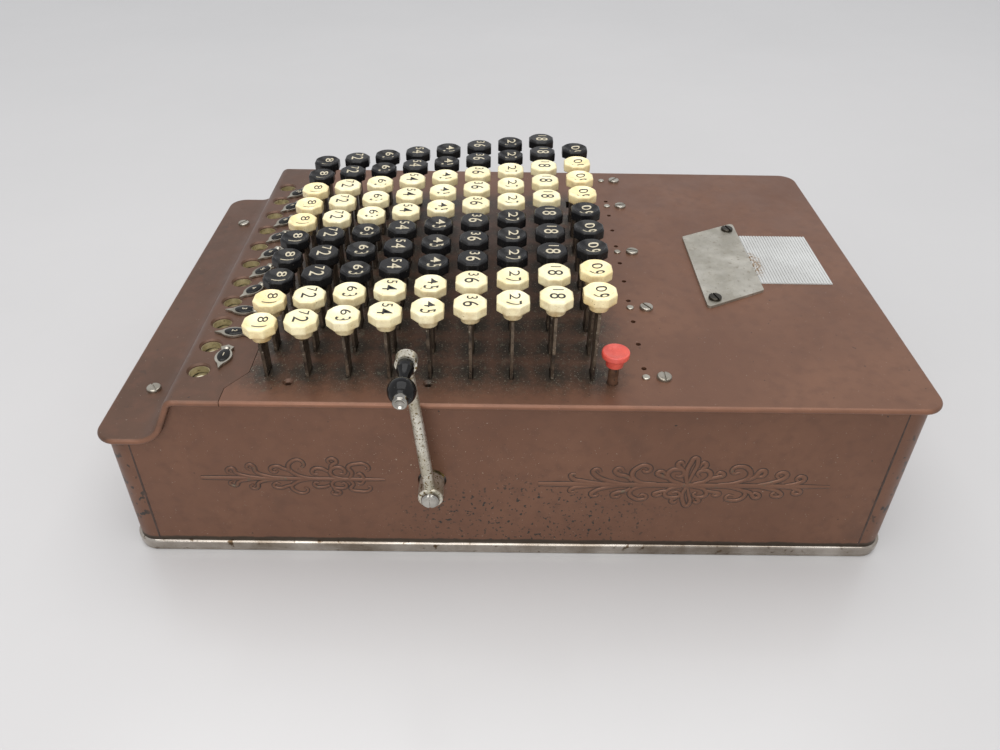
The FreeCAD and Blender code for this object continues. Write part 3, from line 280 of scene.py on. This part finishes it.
looks = {
    "copperCase": {"patch": 18, "dark": (0.131, 0.06, 0.035), "light": (0.163, 0.077, 0.045), "metal": 0.4,
                   "rough": (0.34, 0.5), "grain": 900, "bump": 0.12,
                   "specks": [(420, 0.73, 0.76, (0.02, 0.018, 0.015)), (1500, 0.735, 0.76, (0.55, 0.5, 0.42)),
                              (45, 0.62, 0.85, (0.1, 0.05, 0.032)),
                              (170, 0.48, 0.85, (0.119, 0.056, 0.034))],
                   "zones": sidePits,
                   # The edge colour is the rolled edge's brighter copper: partly wear, partly a painted
                   # highlight.
                   "edge": (0.222, 0.098, 0.055), "edgeX": 0.1195, "edgeY": 0.1825, "edgeWidth": 0.0015},
    "keyDeck": {"patch": 18, "dark": (0.131, 0.061, 0.036), "light": (0.167, 0.08, 0.047), "metal": 0.4,
                "rough": (0.34, 0.52), "grain": 900, "bump": 0.14,
                "specks": [(420, 0.72, 0.75, (0.02, 0.018, 0.015)), (1500, 0.735, 0.76, (0.55, 0.5, 0.42)),
                           (170, 0.48, 0.85, (0.119, 0.056, 0.034))],
                # Key stems: dirt and painted shade darken the deck round each stem under the caps; the dust
                # is pale flecks.
                "stems": {"axes": [("X", 0.0985, 0.019, -9, 0), ("Y", -0.108, 0.0178, 0, 8)],
                          "ragged": 0.02, "fall": 55.0,
                          "dirtShadeLayers": [(0.25, 1.0, (0.056, 0.034, 0.022)), (0.08, 0.45, (0.038, 0.03, 0.021))],
                          "dust": [(330, 0.6, 0.74, (0.13, 0.115, 0.08)), (900, 0.62, 0.7, (0.3, 0.27, 0.2)),
                                   (1900, 0.66, 0.72, (0.45, 0.41, 0.32))]},
                # The edge colour is the rolled edge's brighter copper: partly wear, partly a painted
                # highlight.
                "edge": (0.222, 0.098, 0.055), "edgeX": 0.1195, "edgeY": 0.1825, "edgeWidth": 0.0015},
    "copperRelief": {"patch": 30, "dark": (0.127, 0.058, 0.034), "light": (0.16, 0.076, 0.044), "metal": 0.4,
                     "rough": (0.34, 0.5), "grain": 900, "bump": 0.1,
                     "specks": [(260, 0.64, 0.76, (0.1, 0.085, 0.055))]},
    # Dark outline colour: dirt and painted shade in the creases round the scroll relief; it also colours the
    # dirt in the panel joints.
    "creaseDirtAndShade": {"patch": 200, "dark": (0.024, 0.015, 0.011), "light": (0.065, 0.035, 0.024),
                    "rough": (0.6, 0.8), "grain": 1500, "bump": 0.1},
    "nickel": {"patch": 60, "dark": (0.28, 0.255, 0.2), "light": (0.52, 0.49, 0.42), "metal": 0.9,
               "rough": (0.2, 0.4), "grain": 1400, "bump": 0.1,
               "specks": [(700, 0.68, 0.73, (0.1, 0.07, 0.04))]},
    "screwNickel": {"patch": 60, "dark": (0.24, 0.215, 0.17), "light": (0.46, 0.43, 0.37), "metal": 0.9,
                    "rough": (0.2, 0.4), "grain": 1400, "bump": 0.1,
                    "specks": [(700, 0.66, 0.72, (0.1, 0.07, 0.04))], "zones": plateScrews},
    "polishedNickel": {"patch": 90, "dark": (0.16, 0.15, 0.13), "light": (0.48, 0.46, 0.42), "metal": 1.0,
                       "rough": (0.07, 0.2), "grain": 1400, "bump": 0.05,
                       "specks": [(800, 0.7, 0.74, (0.12, 0.09, 0.05))]},
    "etchedPlate": {"patch": 70, "dark": (0.34, 0.318, 0.265), "light": (0.5, 0.475, 0.415), "metal": 0.75,
                    "rough": (0.3, 0.5), "grain": 1500, "bump": 0.3,
                    "specks": [(420, 0.6, 0.7, (0.3, 0.27, 0.22)), (1500, 0.68, 0.73, (0.14, 0.11, 0.08))]},
    "pittedNickel": {"patch": 90, "dark": (0.4, 0.36, 0.27), "light": (0.72, 0.69, 0.61), "metal": 0.8,
                     "rough": (0.24, 0.46), "grain": 1100, "bump": 0.3,
                     "specks": [(800, 0.57, 0.63, (0.16, 0.11, 0.035)),
                                (1500, 0.62, 0.67, (0.06, 0.045, 0.02))]},
    "baseStrip": {"patch": 35, "dark": (0.22, 0.18, 0.14), "light": (0.5, 0.46, 0.41), "metal": 0.95,
                  "rough": (0.08, 0.24), "grain": 1000, "bump": 0.12,
                  "specks": [(240, 0.63, 0.72, (0.1, 0.065, 0.035))]},
    "stemSteel": {"patch": 160, "dark": (0.03, 0.022, 0.016), "light": (0.15, 0.11, 0.075), "metal": 0.6,
                  "rough": (0.32, 0.6), "grain": 1600, "bump": 0.2,
                  "specks": [(900, 0.62, 0.7, (0.3, 0.26, 0.2)), (500, 0.6, 0.7, (0.03, 0.02, 0.015))]},
    "rustyStem": {"patch": 160, "dark": (0.06, 0.03, 0.018), "light": (0.16, 0.08, 0.045), "metal": 0.4,
                  "rough": (0.4, 0.65), "grain": 1600, "bump": 0.25,
                  "specks": [(700, 0.62, 0.7, (0.03, 0.02, 0.015))]},
    "ivory": {"patch": 140, "dark": (0.77, 0.665, 0.385), "light": (0.85, 0.78, 0.52), "rough": (0.22, 0.38),
              "coat": 0.15, "grain": 1500, "bump": 0.05,
              "specks": [(900, 0.69, 0.75, (0.3, 0.22, 0.12))],
              "sides": (160, (0.36, 0.22, 0.09))},
    "oldIvory": {"patch": 120, "dark": (0.77, 0.61, 0.3), "light": (0.87, 0.77, 0.47), "rough": (0.22, 0.38),
                 "coat": 0.15, "grain": 1500, "bump": 0.05, "specks": [(900, 0.68, 0.75, (0.3, 0.2, 0.1))],
                 "sides": (160, (0.36, 0.2, 0.07))},
    "blackCap": {"patch": 140, "dark": (0.006, 0.006, 0.007), "light": (0.016, 0.015, 0.014),
                 "rough": (0.2, 0.36), "specular": 0.25, "grain": 1500, "bump": 0.05,
                 "specks": [(1100, 0.71, 0.75, (0.14, 0.12, 0.1))]},
    "blackInk": {"patch": 600, "dark": (0.006, 0.006, 0.006), "light": (0.02, 0.018, 0.015),
                 "rough": (0.4, 0.6), "grain": 2000, "bump": 0.05},
    "creamInk": {"patch": 600, "dark": (0.4, 0.35, 0.24), "light": (0.58, 0.52, 0.38), "rough": (0.4, 0.6),
                 "grain": 2000, "bump": 0.05},
    "wheelInk": {"patch": 400, "dark": (0.66, 0.6, 0.44), "light": (0.8, 0.74, 0.58), "rough": (0.4, 0.6),
                 "grain": 2000, "bump": 0.05},
    "redCap": {"patch": 200, "dark": (0.52, 0.06, 0.042), "light": (0.66, 0.1, 0.07), "rough": (0.25, 0.4),
               "coat": 0.1, "grain": 1500, "bump": 0.06, "specks": [(900, 0.7, 0.75, (0.3, 0.05, 0.035))]},
    "blackGrip": {"patch": 150, "dark": (0.004, 0.004, 0.0045), "light": (0.01, 0.0095, 0.009),
                  "rough": (0.08, 0.18), "specular": 0.2, "grain": 1200, "bump": 0.03,
                  "specks": [(1100, 0.73, 0.76, (0.1, 0.09, 0.08))]},
    "wheelEnamel": {"patch": 180, "dark": (0.2, 0.165, 0.085), "light": (0.32, 0.265, 0.15),
                    "rough": (0.3, 0.5), "grain": 1200, "bump": 0.06,
                    "specks": [(500, 0.66, 0.74, (0.16, 0.12, 0.06))]},
    "sightBrass": {"patch": 220, "dark": (0.31, 0.26, 0.14), "light": (0.54, 0.47, 0.29), "metal": 0.5,
                   "rough": (0.3, 0.5), "grain": 1400, "bump": 0.1,
                   "specks": [(600, 0.63, 0.72, (0.12, 0.085, 0.04))]},
    "padRubber": {"patch": 40, "dark": (0.39, 0.39, 0.375), "light": (0.48, 0.485, 0.47),
                  "rough": (0.55, 0.75), "grain": 1800, "bump": 0.15,
                  "specks": [(900, 0.7, 0.76, (0.3, 0.26, 0.2))], "zones": padStain},
    "plainSteel": {"patch": 80, "dark": (0.3, 0.29, 0.27), "light": (0.45, 0.44, 0.42), "metal": 0.9,
                   "rough": (0.3, 0.5), "grain": 1200, "bump": 0.08},
    "brassBush": {"patch": 80, "dark": (0.4, 0.28, 0.1), "light": (0.55, 0.4, 0.16), "metal": 0.9,
                  "rough": (0.3, 0.45), "grain": 1200, "bump": 0.08},
}
# The register cover's copper is a darker copy of the case copper: painted shade on that cover.
looks["registerCopperShaded"] = {**looks["copperCase"], "dark": (0.084, 0.043, 0.026),
                           "light": (0.114, 0.058, 0.036)}
materials = {name: agedMaterial(name, look) for name, look in looks.items()}

nodeLooks = {"keyboard_cover": "keyDeck", "base_moulding": "baseStrip", "crank_arm": "pittedNickel",
             "crank_grip": "blackGrip", "ribbed_pad": "padRubber", "release_key_cap": "redCap",
             "release_key_stem": "rustyStem", "numeral_wheels": "wheelEnamel", "crank_bush": "brassBush",
             "name_plate": "etchedPlate", "register_cover": "registerCopperShaded", "case_screws": "screwNickel",
             "crank_screw": "polishedNickel", "grip_pin": "polishedNickel"}
slotLooks = {"coppered_case": "copperCase", "nickel": "nickel", "steel": "plainSteel", "key_ivory": "ivory"}
nodeSlots = {part["node"]: part["material_slot"] for part in frame["record"]["subparts"]}
for nodeName, obj in frame["nodes"].items():
    look = nodeLooks.get(nodeName) or slotLooks[nodeSlots[nodeName]]
    obj.data.materials.clear()
    obj.data.materials.append(materials[look])
print("stage: frame materials")

keys = {"firstX": 98.5, "pitchX": 19.0, "columns": 10, "digits": 9, "missing": (10, 9),
        "black": (3, 4, 5, 9, 10), "yellowed": (1, 9)}
cap = {"sides": 8, "flats": 13.8, "height": 5.0, "sideCuts": 3, "lip": 0.9, "lipIn": 0.9, "flatIn": 0.4,
       "dishDepth": 2.1, "dishRings": 7, "dishFloor": 0.5, "collarIn": 2.5, "collarHeight": 4.0,
       "collarTaper": 0.9, "edge": 0.28, "edgeSteps": 2, "edgeAngle": 28}


def columnSpots(columns, y=0, z=0):
    return [Matrix.Translation(((keys["firstX"] - (c - 1) * keys["pitchX"]) * mm, y, z)) for c in columns]


def dishSteps():
    rim = cap["flats"] / 2 - cap["lipIn"]
    ball = (rim ** 2 + cap["dishDepth"] ** 2) / (2 * cap["dishDepth"])
    radii = [rim * (1 - ring / (cap["dishRings"] + cap["dishFloor"])) for ring in range(cap["dishRings"] + 1)]
    depths = [math.sqrt(ball ** 2 - r ** 2) for r in radii]
    return [(radii[k] - radii[k + 1], depths[k + 1] - depths[k]) for k in range(cap["dishRings"])]


def makeCap(dished):
    side = cap["height"] - cap["lip"]
    halfTurn = math.pi / cap["sides"]
    cornerRadius = cap["flats"] / 2 / math.cos(halfTurn) * mm
    bpy.ops.mesh.primitive_cylinder_add(vertices=cap["sides"], radius=cornerRadius,
                                        depth=side * mm, rotation=(0, 0, halfTurn),
                                        location=(0, 0, (cap["collarHeight"] + side / 2) * mm))
    obj = bpy.context.object
    bpy.ops.object.transform_apply(location=True, rotation=True, scale=True)
    editOn(obj)
    bpy.ops.mesh.select_all(action="SELECT")
    bpy.ops.mesh.subdivide(number_cuts=cap["sideCuts"])
    pickFaces(facesUp)
    bpy.ops.mesh.inset(thickness=cap["lipIn"] * mm)
    bpy.ops.transform.tosphere(value=1.0)
    bpy.ops.transform.translate(value=(0, 0, cap["lip"] * mm))
    for inset, drop in dishSteps() if dished else [(cap["flatIn"], 0)]:
        bpy.ops.mesh.inset(thickness=inset * mm)
        bpy.ops.transform.translate(value=(0, 0, -drop * mm))
    pickFaces(facesDown)
    bpy.ops.mesh.inset(thickness=cap["collarIn"] * mm)
    bpy.ops.transform.tosphere(value=1.0)
    bpy.ops.mesh.extrude_region_move(TRANSFORM_OT_translate={"value": (0, 0, -cap["collarHeight"] * mm)})
    bpy.ops.transform.resize(value=(cap["collarTaper"], cap["collarTaper"], 1))
    editOff()
    softenEdges(obj, cap["edge"], cap["edgeSteps"], cap["edgeAngle"])
    smooth(obj)
    return obj


inkSpread = 0.03


def makeText(body, size, x, y, z):
    bpy.ops.object.text_add()
    obj = bpy.context.object
    obj.data.body = body
    obj.data.size = size * mm
    obj.data.align_x, obj.data.align_y = "CENTER", "CENTER"
    obj.data.offset = inkSpread * mm
    activate(obj)
    bpy.ops.object.convert(target="MESH")
    obj = bpy.context.object
    obj.data.transform(Matrix.Translation(Vector((x, y, z)) * mm))
    return obj


def gridCut(obj, reach, step):
    editOn(obj)
    for axis in ((1, 0, 0), (0, 1, 0)):
        for k in range(-int(reach / step), int(reach / step) + 1):
            bpy.ops.mesh.select_all(action="SELECT")
            bpy.ops.mesh.bisect(plane_co=[a * k * step * mm for a in axis], plane_no=axis)
    editOff()


legend = {"big": (9.4, 2.0, -0.1), "small": (6.6, -3.0, 0.5), "pair": 9, "above": 1.0, "lift": 0.03,
          "reach": 6.0, "step": 0.75}


def makeLegend(digit, capObj, dished):
    high = cap["collarHeight"] + cap["height"] + legend["above"]
    obj = joined("legend", [makeText(str(digit), *legend["big"], high),
                            makeText(str(legend["pair"] - digit), *legend["small"], high)])
    if dished:
        gridCut(obj, legend["reach"], legend["step"])
    applyModifier(obj, "SHRINKWRAP", target=capObj, wrap_method="PROJECT", use_project_z=True,
                  use_negative_direction=True, use_positive_direction=False, offset=legend["lift"] * mm)
    return obj


stem = {"width": 8.0, "thick": 1.4, "headWidth": 10.5, "shoulder": 109.5, "edge": 0.12, "edgeSteps": 1,
        "edgeAngle": 40}


def makeStem(low, high):
    bpy.ops.mesh.primitive_cube_add(size=1, location=(0, 0, (low + stem["shoulder"]) / 2 * mm))
    obj = bpy.context.object
    obj.scale = (stem["width"] * mm, stem["thick"] * mm, (stem["shoulder"] - low) * mm)
    bpy.ops.object.transform_apply(location=True, rotation=True, scale=True)
    editOn(obj)
    pickFaces(facesUp)
    bpy.ops.mesh.extrude_region_move(TRANSFORM_OT_translate={"value": (0, 0, 0)})
    bpy.ops.transform.resize(value=(stem["headWidth"] / stem["width"], 1, 1))
    bpy.ops.mesh.extrude_region_move(TRANSFORM_OT_translate={"value": (0, 0, (high - stem["shoulder"]) * mm)})
    editOff()
    softenEdges(obj, stem["edge"], stem["edgeSteps"], stem["edgeAngle"])
    return obj


capModels = {True: makeCap(True), False: makeCap(False)}
for digit in range(1, keys["digits"] + 1):
    low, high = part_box(f"units_key_{digit}")
    keyY = (low.y + high.y) / 2
    capBase = high.z - (cap["height"] + cap["collarHeight"]) * mm
    dished = digit % 2 == 1
    model = capModels[dished]
    legendModel = makeLegend(digit, model, dished)
    ivoryLook = "oldIvory" if digit in keys["yellowed"] else "ivory"
    stemModel = makeStem(low.z / mm, capBase / mm)
    every = [c for c in range(1, keys["columns"] + 1) if (c, digit) != keys["missing"]]
    groups = {"units": [1], "ivory": [c for c in every[1:] if c not in keys["black"]],
              "black": [c for c in every if c in keys["black"]]}
    for group, columns in groups.items():
        body = f"units_key_{digit}" if group == "units" else f"key_row_{digit}"
        dark = group == "black"
        spots = columnSpots(columns, keyY, capBase)
        settle(stamped(f"{group}_caps_{digit}", model, spots), body,
               "black_grip" if dark else "key_ivory", materials["blackCap" if dark else ivoryLook],
               *([body] if group != "ivory" else []))
        settle(stamped(f"{group}_numerals_{digit}", legendModel, spots), body,
               "key_ivory" if dark else "black_grip", materials["creamInk" if dark else "blackInk"])
    for name, body, columns in (("units_stem", "units_key", [1]), ("row_stems", "key_row", every[1:])):
        settle(stamped(f"{name}_{digit}", stemModel, columnSpots(columns, keyY)), f"{body}_{digit}", "steel",
               materials["stemSteel"])
    discard(legendModel, stemModel)
discard(*capModels.values())
print("stage: keys")

releaseCap = {"sides": 40, "rim": 2.7, "topIn": 0.7, "dish": ((1.4, 0.4), (1.6, 0.25), (1.2, 0.08)),
              "shoulder": 0.9, "shoulderShare": 0.7, "foot": 0.9, "edge": 0.5, "edgeSteps": 3,
              "edgeAngle": 28, "smoothAngle": 50}


def makeReleaseCap():
    low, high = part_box("release_key_cap")
    rim = releaseCap["rim"] * mm
    middle = (low + high) / 2
    bpy.ops.mesh.primitive_cylinder_add(vertices=releaseCap["sides"], radius=(high.x - low.x) / 2, depth=rim,
                                        location=(middle.x, middle.y, high.z - rim / 2))
    obj = bpy.context.object
    bpy.ops.object.transform_apply(location=True, rotation=True, scale=True)
    editOn(obj)
    pickFaces(facesUp)
    bpy.ops.mesh.inset(thickness=releaseCap["topIn"] * mm)
    for inset, drop in releaseCap["dish"]:
        bpy.ops.mesh.inset(thickness=inset * mm)
        bpy.ops.transform.translate(value=(0, 0, -drop * mm))
    pickFaces(facesDown)
    bpy.ops.mesh.extrude_region_move(TRANSFORM_OT_translate={"value": (0, 0, -releaseCap["shoulder"] * mm)})
    bpy.ops.transform.resize(value=(releaseCap["shoulderShare"], releaseCap["shoulderShare"], 1))
    foot = high.z - rim - releaseCap["shoulder"] * mm - low.z
    bpy.ops.mesh.extrude_region_move(TRANSFORM_OT_translate={"value": (0, 0, -foot)})
    bpy.ops.transform.resize(value=(releaseCap["foot"], releaseCap["foot"], 1))
    editOff()
    softenEdges(obj, releaseCap["edge"], releaseCap["edgeSteps"], releaseCap["edgeAngle"])
    smooth(obj, releaseCap["smoothAngle"])
    return obj


released = makeReleaseCap()
released.name = "release_cap"
settle(released, "release_key", "key_red", materials["redCap"], "release_key_cap")
print("stage: release key")

wheel = {"y": -138.6, "z": 79.7, "radius": 11.0, "figures": 10, "size": 10.2, "count": 11, "lift": 0.04,
         "reach": 4.5, "step": 0.75}


def makeNumberRing():
    pieces = []
    axis = Vector((0, wheel["y"], wheel["z"])) * mm
    radius = (wheel["radius"] + wheel["lift"]) * mm
    for digit in range(wheel["figures"]):
        text = makeText(str(digit), wheel["size"], 0, 0, 0)
        gridCut(text, wheel["reach"], wheel["step"])
        for vertex in text.data.vertices:  # each figure is laid round its wheel
            angle = vertex.co.y / radius - 2 * math.pi * digit / wheel["figures"]
            vertex.co = axis + Vector((vertex.co.x, radius * math.sin(angle), radius * math.cos(angle)))
        pieces.append(text)
    return joined("ring", pieces)


wheelSpots = columnSpots(range(1, wheel["count"] + 1))
ring = makeNumberRing()
settle(stamped("wheel_numerals", ring, wheelSpots), "register", "wheel_dark", materials["wheelInk"])
discard(ring)

sight = {"sides": 32, "radius": 4.47, "low": 91.05, "high": 94.2, "wall": 0.25, "smoothAngle": 50}


def makeSightRing():
    middle = Vector((0, wheel["y"], (sight["high"] + sight["low"]) / 2)) * mm
    bpy.ops.mesh.primitive_cylinder_add(vertices=sight["sides"], radius=sight["radius"] * mm,
                                        depth=(sight["high"] - sight["low"]) * mm, location=middle)
    obj = bpy.context.object
    bpy.ops.object.transform_apply(location=True, rotation=True, scale=True)
    editOn(obj)
    pickFaces(lambda face: facesUp(face) or facesDown(face))
    bpy.ops.mesh.inset(thickness=sight["wall"] * mm, use_individual=True)
    bpy.ops.mesh.bridge_edge_loops()
    bpy.ops.mesh.select_all(action="SELECT")
    bpy.ops.mesh.normals_make_consistent(inside=False)
    editOff()
    smooth(obj, sight["smoothAngle"])
    return obj


sightRing = makeSightRing()
settle(stamped("sight_rings", sightRing, wheelSpots), "case", "brass", materials["sightBrass"])
discard(sightRing)

inlay = {"count": 10, "sides": 28, "wide": 2.7, "long": 4.6, "thick": 0.5, "rimIn": 0.6, "crown": 0.25,
         "y": -130.0, "z": 96.9, "turns": {1: 90, 2: 0, 3: 0}, "usual": 55, "figure": 3.4, "top": 97.43,
         "smoothAngle": 50}


def makeEnamel():
    bpy.ops.mesh.primitive_cylinder_add(vertices=inlay["sides"], radius=1.0, depth=1.0)
    obj = bpy.context.object
    obj.scale = (inlay["wide"] * mm, inlay["long"] * mm, inlay["thick"] * mm)
    bpy.ops.object.transform_apply(location=True, rotation=True, scale=True)
    editOn(obj)
    pickFaces(facesUp)
    bpy.ops.mesh.inset(thickness=inlay["rimIn"] * mm)
    bpy.ops.transform.translate(value=(0, 0, inlay["crown"] * mm))
    editOff()
    return obj


for number in range(1, inlay["count"] + 1):
    x = keys["firstX"] - (number - 0.5) * keys["pitchX"]  # midway between two windows
    turned = Matrix.Rotation(math.radians(inlay["turns"].get(number, inlay["usual"])), 4, "Z")
    enamel = makeEnamel()
    enamel.data.transform(Matrix.Translation(Vector((x, inlay["y"], inlay["z"])) * mm) @ turned)
    enamel.name = f"pointer_enamel_{number}"
    smooth(enamel, inlay["smoothAngle"])
    settle(enamel, f"decimal_pointer_{number}", "black_grip", materials["blackGrip"])
    figure = makeText(str(number), inlay["figure"], 0, 0, 0)
    figure.data.transform(Matrix.Translation(Vector((x, inlay["y"], inlay["top"])) * mm) @ turned)
    figure.name = f"pointer_figure_{number}"
    settle(figure, f"decimal_pointer_{number}", "black_grip", materials["creamInk"])
print("stage: register")

# Scroll strokes as seen from outside: (across, up) points on a drawing grid, the stem at up 0.
rearScroll = {"y0": 12.0, "perX": 0.1103, "zStem": 46.5, "perZ": 0.145, "origin": 70, "bar": (70, 1285),
              "wide": 1.15, "strokes": [
    [(985, 4), (1040, 16), (1085, 36), (1092, 52), (1070, 60), (1052, 47), (1066, 34)],
    [(1100, 4), (1145, 14), (1170, 32), (1155, 44), (1138, 34), (1148, 22)],
    [(820, 4), (895, 15), (940, 42), (930, 72), (895, 84), (864, 72), (872, 54), (896, 58)],
    [(915, 22), (958, 36), (990, 68), (1002, 56), (985, 40), (966, 50)],
    [(715, 6), (768, 25), (776, 54), (750, 66), (724, 52), (736, 36)],
    [(770, 28), (810, 38), (832, 46), (816, 58), (802, 48)],
    [(665, 6), (612, 28), (604, 56), (640, 70), (668, 56), (655, 38), (634, 42)],
    [(610, 30), (576, 40), (558, 52), (578, 60), (592, 48)],
    [(690, 4), (678, 50), (688, 96), (704, 118), (716, 98), (704, 50), (692, 8)],
    [(655, 72), (636, 88), (648, 100), (660, 90)], [(738, 70), (752, 86), (742, 98), (730, 88)],
    [(560, 5), (482, 15), (455, 45), (474, 74), (508, 84), (528, 68), (510, 55), (496, 66)],
    [(458, 20), (430, 38), (402, 44), (384, 60), (404, 72), (420, 58)],
    [(420, 4), (345, 20), (305, 40), (294, 58), (314, 66), (326, 52)],
    [(330, 4), (252, 14), (212, 24), (204, 40), (224, 44)]]}
frontScroll = {"y0": -142.0, "perX": 0.0824, "zStem": 48.0, "perZ": 0.11, "origin": 220, "bar": (222, 1240),
               "wide": 0.9, "strokes": [
    [(560, 3), (470, 14), (422, 31), (410, 54), (390, 56), (374, 36), (392, 24)],
    [(720, 3), (590, 14), (532, 38), (526, 66), (504, 78), (487, 60), (506, 46)],
    [(925, 3), (800, 8), (736, 34), (715, 64), (740, 98), (780, 106), (803, 80), (788, 64)],
    [(730, 44), (690, 56), (652, 70), (616, 55), (632, 34), (656, 46)],
    [(1005, 3), (950, 20), (944, 50), (984, 68), (1020, 54), (1014, 30), (990, 34)],
    [(946, 50), (956, 80), (982, 98), (962, 116), (936, 104), (946, 88)],
    [(930, 44), (892, 60), (850, 54), (845, 30), (872, 26)],
    [(1042, 4), (1060, 36), (1044, 70), (1092, 88), (1140, 84), (1156, 60), (1140, 48)],
    [(1125, 4), (1102, 32), (1084, 26)]]}
# The dark outline under each scroll is wider and flatter than the scroll: dirt and painted shade in its
# crease.
relief = {"face": 117.0, "height": 0.42, "dirtShadeGrow": 0.4, "dirtShadeHeight": 0.1, "lower": 0.78,
          "upperWide": 0.8, "lowerWide": 0.7, "barSteps": (0, 45, 110, 130), "smoothAngle": 60}
brush = {"thin": 0.7, "swell": 0.6, "start": 0.2, "rings": 3, "steps": 6}


def strokeCurve(points, radius, depth, side):
    data = bpy.data.curves.new("stroke", "CURVE")
    data.dimensions = "3D"
    data.bevel_depth, data.bevel_resolution, data.resolution_u = 1.0, brush["rings"], brush["steps"]
    data.use_fill_caps = True
    path = data.splines.new("BEZIER")
    path.bezier_points.add(len(points) - 1)
    for i, (point, (y, z)) in enumerate(zip(path.bezier_points, points)):
        share = brush["start"] + i / (len(points) - 1) * (1 - brush["start"])
        point.co = (0, y * mm, z * mm)
        point.handle_left_type = point.handle_right_type = "AUTO"
        point.radius = radius * mm * (brush["thin"] + brush["swell"] * math.sin(math.pi * share))
    obj = bpy.data.objects.new("stroke", data)
    bpy.context.scene.collection.objects.link(obj)
    activate(obj)
    bpy.ops.object.convert(target="MESH")
    obj = bpy.context.object
    flat = Matrix.Diagonal((depth / radius, 1, 1, 1))
    obj.data.transform(Matrix.Translation((side * relief["face"] * mm, 0, 0)) @ flat)
    return obj


def makeScroll(name, scroll, grow, depth, side):
    def onPanel(x, up):
        return scroll["y0"] + (x - scroll["origin"]) * scroll["perX"], scroll["zStem"] + up * scroll["perZ"]

    first, last = scroll["bar"]
    bar = [first + step for step in relief["barSteps"]] + [(first + last) / 2]
    bar += [last - step for step in reversed(relief["barSteps"])]
    made = [strokeCurve([onPanel(x, 0) for x in bar], scroll["wide"] + grow, depth, side)]
    for stroke in scroll["strokes"]:
        upper = [onPanel(x, up) for x, up in stroke]
        lower = [onPanel(x, -up * relief["lower"]) for x, up in stroke]
        made.append(strokeCurve(upper, scroll["wide"] * relief["upperWide"] + grow, depth, side))
        made.append(strokeCurve(lower, scroll["wide"] * relief["lowerWide"] + grow, depth, side))
    obj = joined(name, made)
    smooth(obj, relief["smoothAngle"])
    return obj


for sideName, side in (("right", 1), ("left", -1)):
    for endName, scroll in (("rear", rearScroll), ("front", frontScroll)):
        name = f"{sideName}_{endName}_scroll"
        raised = makeScroll(name, scroll, 0, relief["height"], side)
        settle(raised, "case", "coppered_case", materials["copperRelief"])
        # A wider, flatter dark copy under each scroll: dirt and painted shade in the crease round the raised
        # strokes.
        dirtAndShade = makeScroll(f"{name}_grime", scroll, relief["dirtShadeGrow"], relief["dirtShadeHeight"], side)
        settle(dirtAndShade, "case", "coppered_case", materials["creaseDirtAndShade"])

# Dirt packed in the upright joints between the side panels and the wrapped corners.
joint = {"y": 169.9, "low": 7.0, "tops": {1: 92.0, -1: 70.0}, "steps": 5, "wide": 0.42, "height": 0.1}
for sideName, side in (("right", 1), ("left", -1)):
    lines = []
    for end, top in joint["tops"].items():
        rise = (top - joint["low"]) / joint["steps"]
        points = [(end * joint["y"], joint["low"] + rise * k) for k in range(joint["steps"] + 1)]
        lines.append(strokeCurve(points, joint["wide"], joint["height"], side))
    settle(joined(f"{sideName}_joint_grime", lines), "case", "coppered_case", materials["creaseDirtAndShade"])
print("stage: ornament")

# The photo's own view, fitted to the case edges and key rows.
view = {"place": (0.39029, -0.0086, 0.31501), "yaw": 0.478, "pitch": 37.054, "roll": 0.984, "lens": 29.83,
        "sensor": 36.0, "nearest": 0.01}
yaw, pitch, roll = (math.radians(view[k]) for k in ("yaw", "pitch", "roll"))
ahead = Vector((-math.cos(pitch) * math.cos(yaw), math.cos(pitch) * math.sin(yaw), -math.sin(pitch)))
right = ahead.cross(Vector((0, 0, 1))).normalized()
up = right.cross(ahead)
right, up = math.cos(roll) * right + math.sin(roll) * up, -math.sin(roll) * right + math.cos(roll) * up
camera = bpy.data.objects.new("camera", bpy.data.cameras.new("camera"))
camera.data.lens, camera.data.sensor_width = view["lens"], view["sensor"]
camera.data.clip_start = view["nearest"]
camera.matrix_world = Matrix.Translation(view["place"]) @ Matrix((right, up, -ahead)).transposed().to_4x4()
bpy.context.scene.collection.objects.link(camera)
bpy.context.scene.camera = camera

lights = {"overhead": {"place": (0.1, 0.0, 1.6), "aim": (0, 0, 0), "size": 1.8, "power": 23.5},
          "fill": {"place": (1.1, -0.15, 0.6), "aim": (0, 0, 0.05), "size": 0.8, "power": 6.0}}
for name, spec in lights.items():
    lamp = bpy.data.objects.new(name, bpy.data.lights.new(name, "AREA"))
    lamp.data.size, lamp.data.energy = spec["size"], spec["power"]
    lamp.visible_camera = False
    lamp.location = spec["place"]
    aim = Vector(spec["aim"]) - Vector(spec["place"])
    lamp.rotation_euler = aim.to_track_quat("-Z", "Y").to_euler()
    bpy.context.scene.collection.objects.link(lamp)
sky = {"colour": (0.96, 0.97, 1.0, 1), "strength": 0.74}
world = bpy.data.worlds.new("world")
world.use_nodes = True
background = world.node_tree.nodes["Background"]
background.inputs["Color"].default_value = sky["colour"]
background.inputs["Strength"].default_value = sky["strength"]
bpy.context.scene.world = world
bpy.context.scene.view_settings.view_transform = "Standard"

# A wide glossy white table.
table = {"half": 6.0, "low": -0.0002}
tableLook = {"patch": 1.5, "dark": (0.47, 0.462, 0.457), "light": (0.5, 0.49, 0.485), "rough": (0.2, 0.26),
             "grain": 8, "bump": 0.004}
bpy.ops.mesh.primitive_plane_add(size=2 * table["half"], location=(0, 0, table["low"]))
tableTop = bpy.context.object
bpy.ops.object.transform_apply(location=True, rotation=True, scale=True)
tableTop.name = "table"
tableTop.data.materials.append(agedMaterial("tableWhite", tableLook))
print("stage: table")
